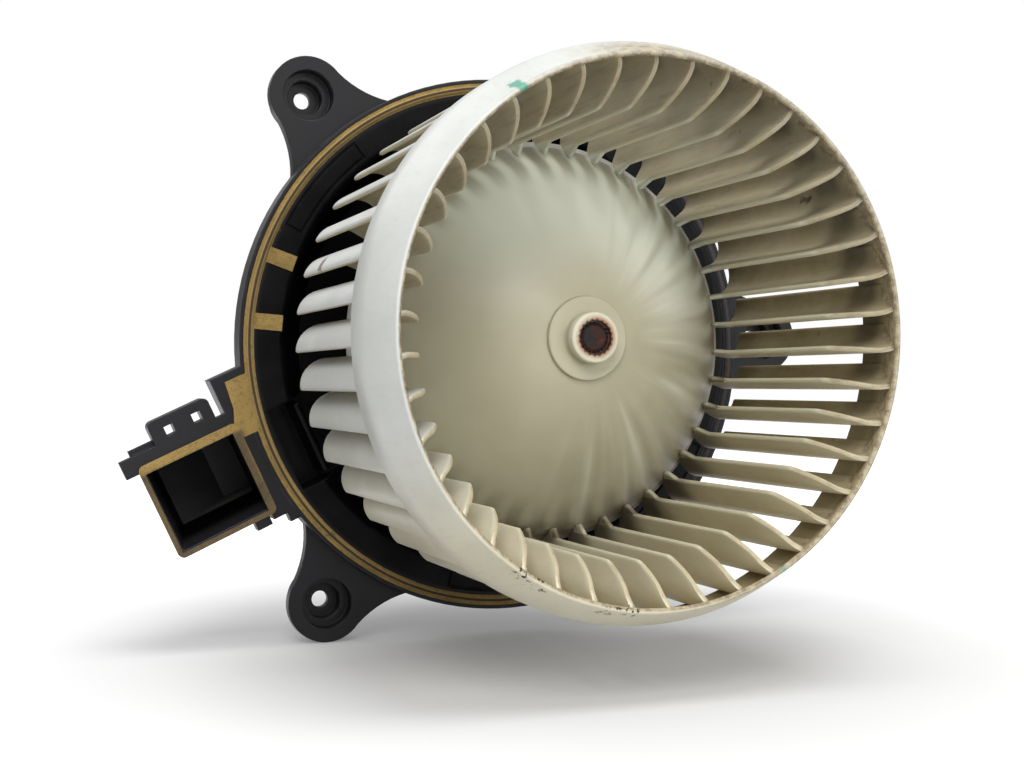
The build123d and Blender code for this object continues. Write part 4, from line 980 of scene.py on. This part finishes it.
# Metal parts: nodes, finish, colour, tarnish, roughness, scratches along X, Y and Z, the rest
EVEN = (1.0, 1.0, 1.0)
METALS = (
    (("motor_can",), "can_steel", (0.42, 0.42, 0.43), (0.30, 0.29, 0.28), 0.38,
     (1.0, 12.0, 1.0), {"rust": 0.18}),
    (("end_cap",), "cap_steel", (0.42, 0.42, 0.43), (0.31, 0.30, 0.29), 0.40,
     (12.0, 1.0, 1.0), {"rust": 0.15}),
    (("motor_shaft",), "rusted_steel", (0.026, 0.013, 0.010), (0.009, 0.005, 0.004), 0.6,
     (1.0, 6.0, 1.0),
     {"rust": 0.62, "rust_colour": (0.11, 0.032, 0.010), "metallic": 0.2, "bump": 0.9}),
    (("armature_core",), "lamination_steel", (0.30, 0.30, 0.31), (0.20, 0.19, 0.19), 0.42,
     (1.0, 40.0, 1.0), {"rust": 0.2}),
    (("commutator",), "commutator_copper", (0.72, 0.36, 0.20), (0.42, 0.20, 0.11), 0.30,
     (1.0, 14.0, 1.0), {}),
    (("armature_windings",), "enamelled_wire", (0.42, 0.14, 0.045), (0.30, 0.09, 0.03), 0.30,
     (1.0, 1.0, 9.0), {"bump": 0.8}),
    (("chokes",), "choke_wire", (0.46, 0.17, 0.05), (0.30, 0.10, 0.03), 0.32,
     (1.0, 10.0, 1.0), {"bump": 0.8}),
    (("brush_boxes",), "box_brass", (0.62, 0.46, 0.18), (0.44, 0.31, 0.11), 0.34,
     (9.0, 1.0, 1.0), {}),
    (("terminals",), "tinned_brass", (0.58, 0.57, 0.54), (0.44, 0.42, 0.38), 0.30,
     (1.0, 9.0, 1.0), {}),
    (("front_bushing", "rear_bushing"), "sintered_bronze", (0.46, 0.32, 0.16),
     (0.32, 0.21, 0.10), 0.48, EVEN, {"bump": 0.5}),
    (("front_thrust_washer", "rear_thrust_washer", "brush_springs"), "bright_steel",
     (0.56, 0.56, 0.57), (0.44, 0.44, 0.45), 0.28, EVEN, {"rust": 0.1}),
    (("cover_screws",), "screw_zinc", (0.46, 0.45, 0.42), (0.34, 0.32, 0.28), 0.36, EVEN,
     {"rust": 0.25}),
)

# Other parts: nodes, finish, colour, patches, dust, roughness, the rest
MOULDINGS = (
    (("magnets",), "ferrite", (0.045, 0.045, 0.048), (0.065, 0.064, 0.066),
     (0.12, 0.11, 0.10), 0.55, {"grain": 900.0}),
    (("carbon_brushes",), "carbon", (0.028, 0.028, 0.030), (0.045, 0.044, 0.045),
     (0.07, 0.06, 0.05), 0.50, {"grain": 2200.0}),
    (("brush_card",), "card_moulding", (0.10, 0.065, 0.035), (0.13, 0.085, 0.045),
     (0.16, 0.14, 0.11), 0.50, {}),
    (("front_isolator", "rear_isolator"), "isolator_rubber", (0.018, 0.018, 0.018),
     (0.026, 0.025, 0.025), (0.11, 0.10, 0.085), 0.68, {"grain": 2400.0, "dust_amount": 0.35}),
)


class BLOWER_OT_motor(bpy.types.Operator):
    """Gives the motor's parts their metals, wire, ferrite and mouldings"""

    bl_idname = "blower.motor"
    bl_label = "Finish the motor"

    def execute(self, context):
        for maker, rows in ((metal, METALS), (moulded, MOULDINGS)):
            for nodes, *values, rest in rows:
                finish = maker(*values, **rest)
                for node in nodes:
                    paint(node, finish)
        return {"FINISHED"}


# Stage

# Lamps, each aimed at the origin: place, width in metres, watts
LAMPS = {
    "key": ((-0.50, -1.10, 0.85), 0.7, 10.5),
    "top": ((0.05, -0.32, 1.25), 0.7, 11.0),
    "fill": ((0.35, -1.30, 0.15), 0.8, 5.5),
    "back": ((-0.5, 0.9, 0.8), 0.8, 3.0),
}
CAMERA_PLACE, CAMERA_AIM = (-0.1659, -0.4354, -0.0132), (0.3617, 0.9323, 0.0)
SENSOR_WIDTH, CLIP_START = 36.0, 0.01
FLOOR_RADIUS = 6.0
FLOOR_GREY, FLOOR_MOTTLE = (0.52, 0.52, 0.52), (0.50, 0.50, 0.50)
# Painted shadow: the floor's glow is low under the part and goes over into white between two
# distances from the point under it
UNDER_PART = (0.0, -0.02, 0.0)
GLOW_START, GLOW_END = 0.06, 0.36
GLOW_IN_PAINTED_SHADOW, GLOW_FAR = 0.10, 0.92
WHITE = (1.0, 1.0, 1.0, 1.0)


class BLOWER_OT_stage(bpy.types.Operator):
    """Sets the floor, the light and the camera"""

    bl_idname = "blower.stage"
    bl_label = "Set the stage"

    def execute(self, context):
        settings = context.scene.blower_stage
        scene = context.scene
        scene.view_settings.view_transform = "Standard"
        self.floor(context, cad_bounds[0][2] - settings.floor_gap)
        self.world(scene, settings.world_strength)
        for name, (place, size, power) in LAMPS.items():
            light = bpy.data.lights.new(name, "AREA")
            light.size, light.energy = size, power
            lamp = bpy.data.objects.new(name, light)
            lamp.location = place
            lamp.rotation_euler = Vector(place).to_track_quat("Z", "Y").to_euler()
            scene.collection.objects.link(lamp)
        camera = bpy.data.cameras.new("camera")
        camera.lens, camera.sensor_width = settings.lens, SENSOR_WIDTH
        camera.clip_start = CLIP_START
        stand = bpy.data.objects.new("camera", camera)
        stand.location = CAMERA_PLACE
        stand.rotation_euler = Vector(CAMERA_AIM).to_track_quat("-Z", "Y").to_euler()
        scene.collection.objects.link(stand)
        scene.camera = stand
        return {"FINISHED"}

    def floor(self, context, height):
        """A wide pale floor that keeps the shadow, has a painted shadow under the part, and runs
        into the white behind it
        """
        mesh = bmesh.new()
        bmesh.ops.create_circle(mesh, cap_ends=True, segments=96, radius=FLOOR_RADIUS)
        bmesh.ops.translate(mesh, verts=mesh.verts[:], vec=(0, 0, height))
        data = bpy.data.meshes.new("floor")
        mesh.to_mesh(data)
        mesh.free()
        made, bench = material("pale_floor")
        spot = bench.add("ShaderNodeTexCoord").outputs["Object"]
        colour = bench.lay(FLOOR_GREY, FLOOR_MOTTLE, bench.noise(spot, 3.0, 2.0), 0.3)
        path = bench.add("ShaderNodeLightPath").outputs
        seen = bench.calc("MAXIMUM", path["Is Camera Ray"], path["Is Glossy Ray"])
        seen = bench.calc("MAXIMUM", seen, path["Is Transmission Ray"])
        away = bench.vector("LENGTH", bench.vector("SUBTRACT", spot, UNDER_PART), output=1)
        # painted shadow: less glow near the part darkens the floor there
        painted_shadow_glow = bench.ramp(away, GLOW_START, GLOW_END, GLOW_IN_PAINTED_SHADOW, GLOW_FAR)
        matt = bench.add("ShaderNodeBsdfDiffuse", {"Color": colour})
        glow = bench.add("ShaderNodeEmission", {
            "Color": WHITE, "Strength": bench.calc("MULTIPLY", seen, painted_shadow_glow)})
        both = bench.add("ShaderNodeAddShader")
        bench.tree.links.new(matt.outputs[0], both.inputs[0])
        bench.tree.links.new(glow.outputs[0], both.inputs[1])
        end = bench.add("ShaderNodeOutputMaterial")
        bench.tree.links.new(both.outputs[0], end.inputs[0])
        data.materials.append(made)
        floor = bpy.data.objects.new("floor", data)
        context.scene.collection.objects.link(floor)

    def world(self, scene, strength):
        """Plain light from all round, seen as white"""
        world = bpy.data.worlds.new("studio")
        scene.world = world
        world.use_nodes = True
        bench = Bench(world.node_tree)
        path = bench.add("ShaderNodeLightPath").outputs
        seen = bench.calc("MAXIMUM", path["Is Camera Ray"], path["Is Transmission Ray"])
        level = bench.add("ShaderNodeMix", data_type="FLOAT")
        for key, value in ((0, seen), (2, strength), (3, 1.0)):
            bench.feed(level.inputs[key], value)
        back = bench.add("ShaderNodeBackground", {"Color": WHITE, "Strength": level.outputs[0]})
        end = bench.add("ShaderNodeOutputWorld")
        bench.tree.links.new(back.outputs[0], end.inputs[0])


class BLOWER_PT_panel(bpy.types.Panel):
    """Lists the steps and the sizes in the sidebar"""

    bl_label = "Cabin blower"
    bl_idname = "BLOWER_PT_panel"
    bl_space_type = "VIEW_3D"
    bl_region_type = "UI"
    bl_category = "Blower"

    def draw(self, context):
        column = self.layout.column()
        for step in STEPS:
            column.operator("blower." + step)
        for holder in (context.scene.blower_wheel, context.scene.blower_colours,
                       context.scene.blower_stage):
            for name in holder.__annotations__:
                column.prop(holder, name)


STEPS = ("wheel", "flange", "seal", "motor", "stage")
HOLDERS = {"blower_wheel": WheelSizes, "blower_colours": FinishColours,
           "blower_stage": StageSettings}
CLASSES = (*HOLDERS.values(), BLOWER_OT_wheel, BLOWER_OT_flange, BLOWER_OT_seal, BLOWER_OT_motor,
           BLOWER_OT_stage, BLOWER_PT_panel)


def register():
    for one in CLASSES:
        bpy.utils.register_class(one)
    for name, holder in HOLDERS.items():
        setattr(bpy.types.Scene, name, PointerProperty(type=holder))


def unregister():
    for name in HOLDERS:
        delattr(bpy.types.Scene, name)
    for one in reversed(CLASSES):
        bpy.utils.unregister_class(one)


def main():
    register()
    for step in STEPS:
        getattr(bpy.ops.blower, step)()


if __name__ == "__main__":
    main()
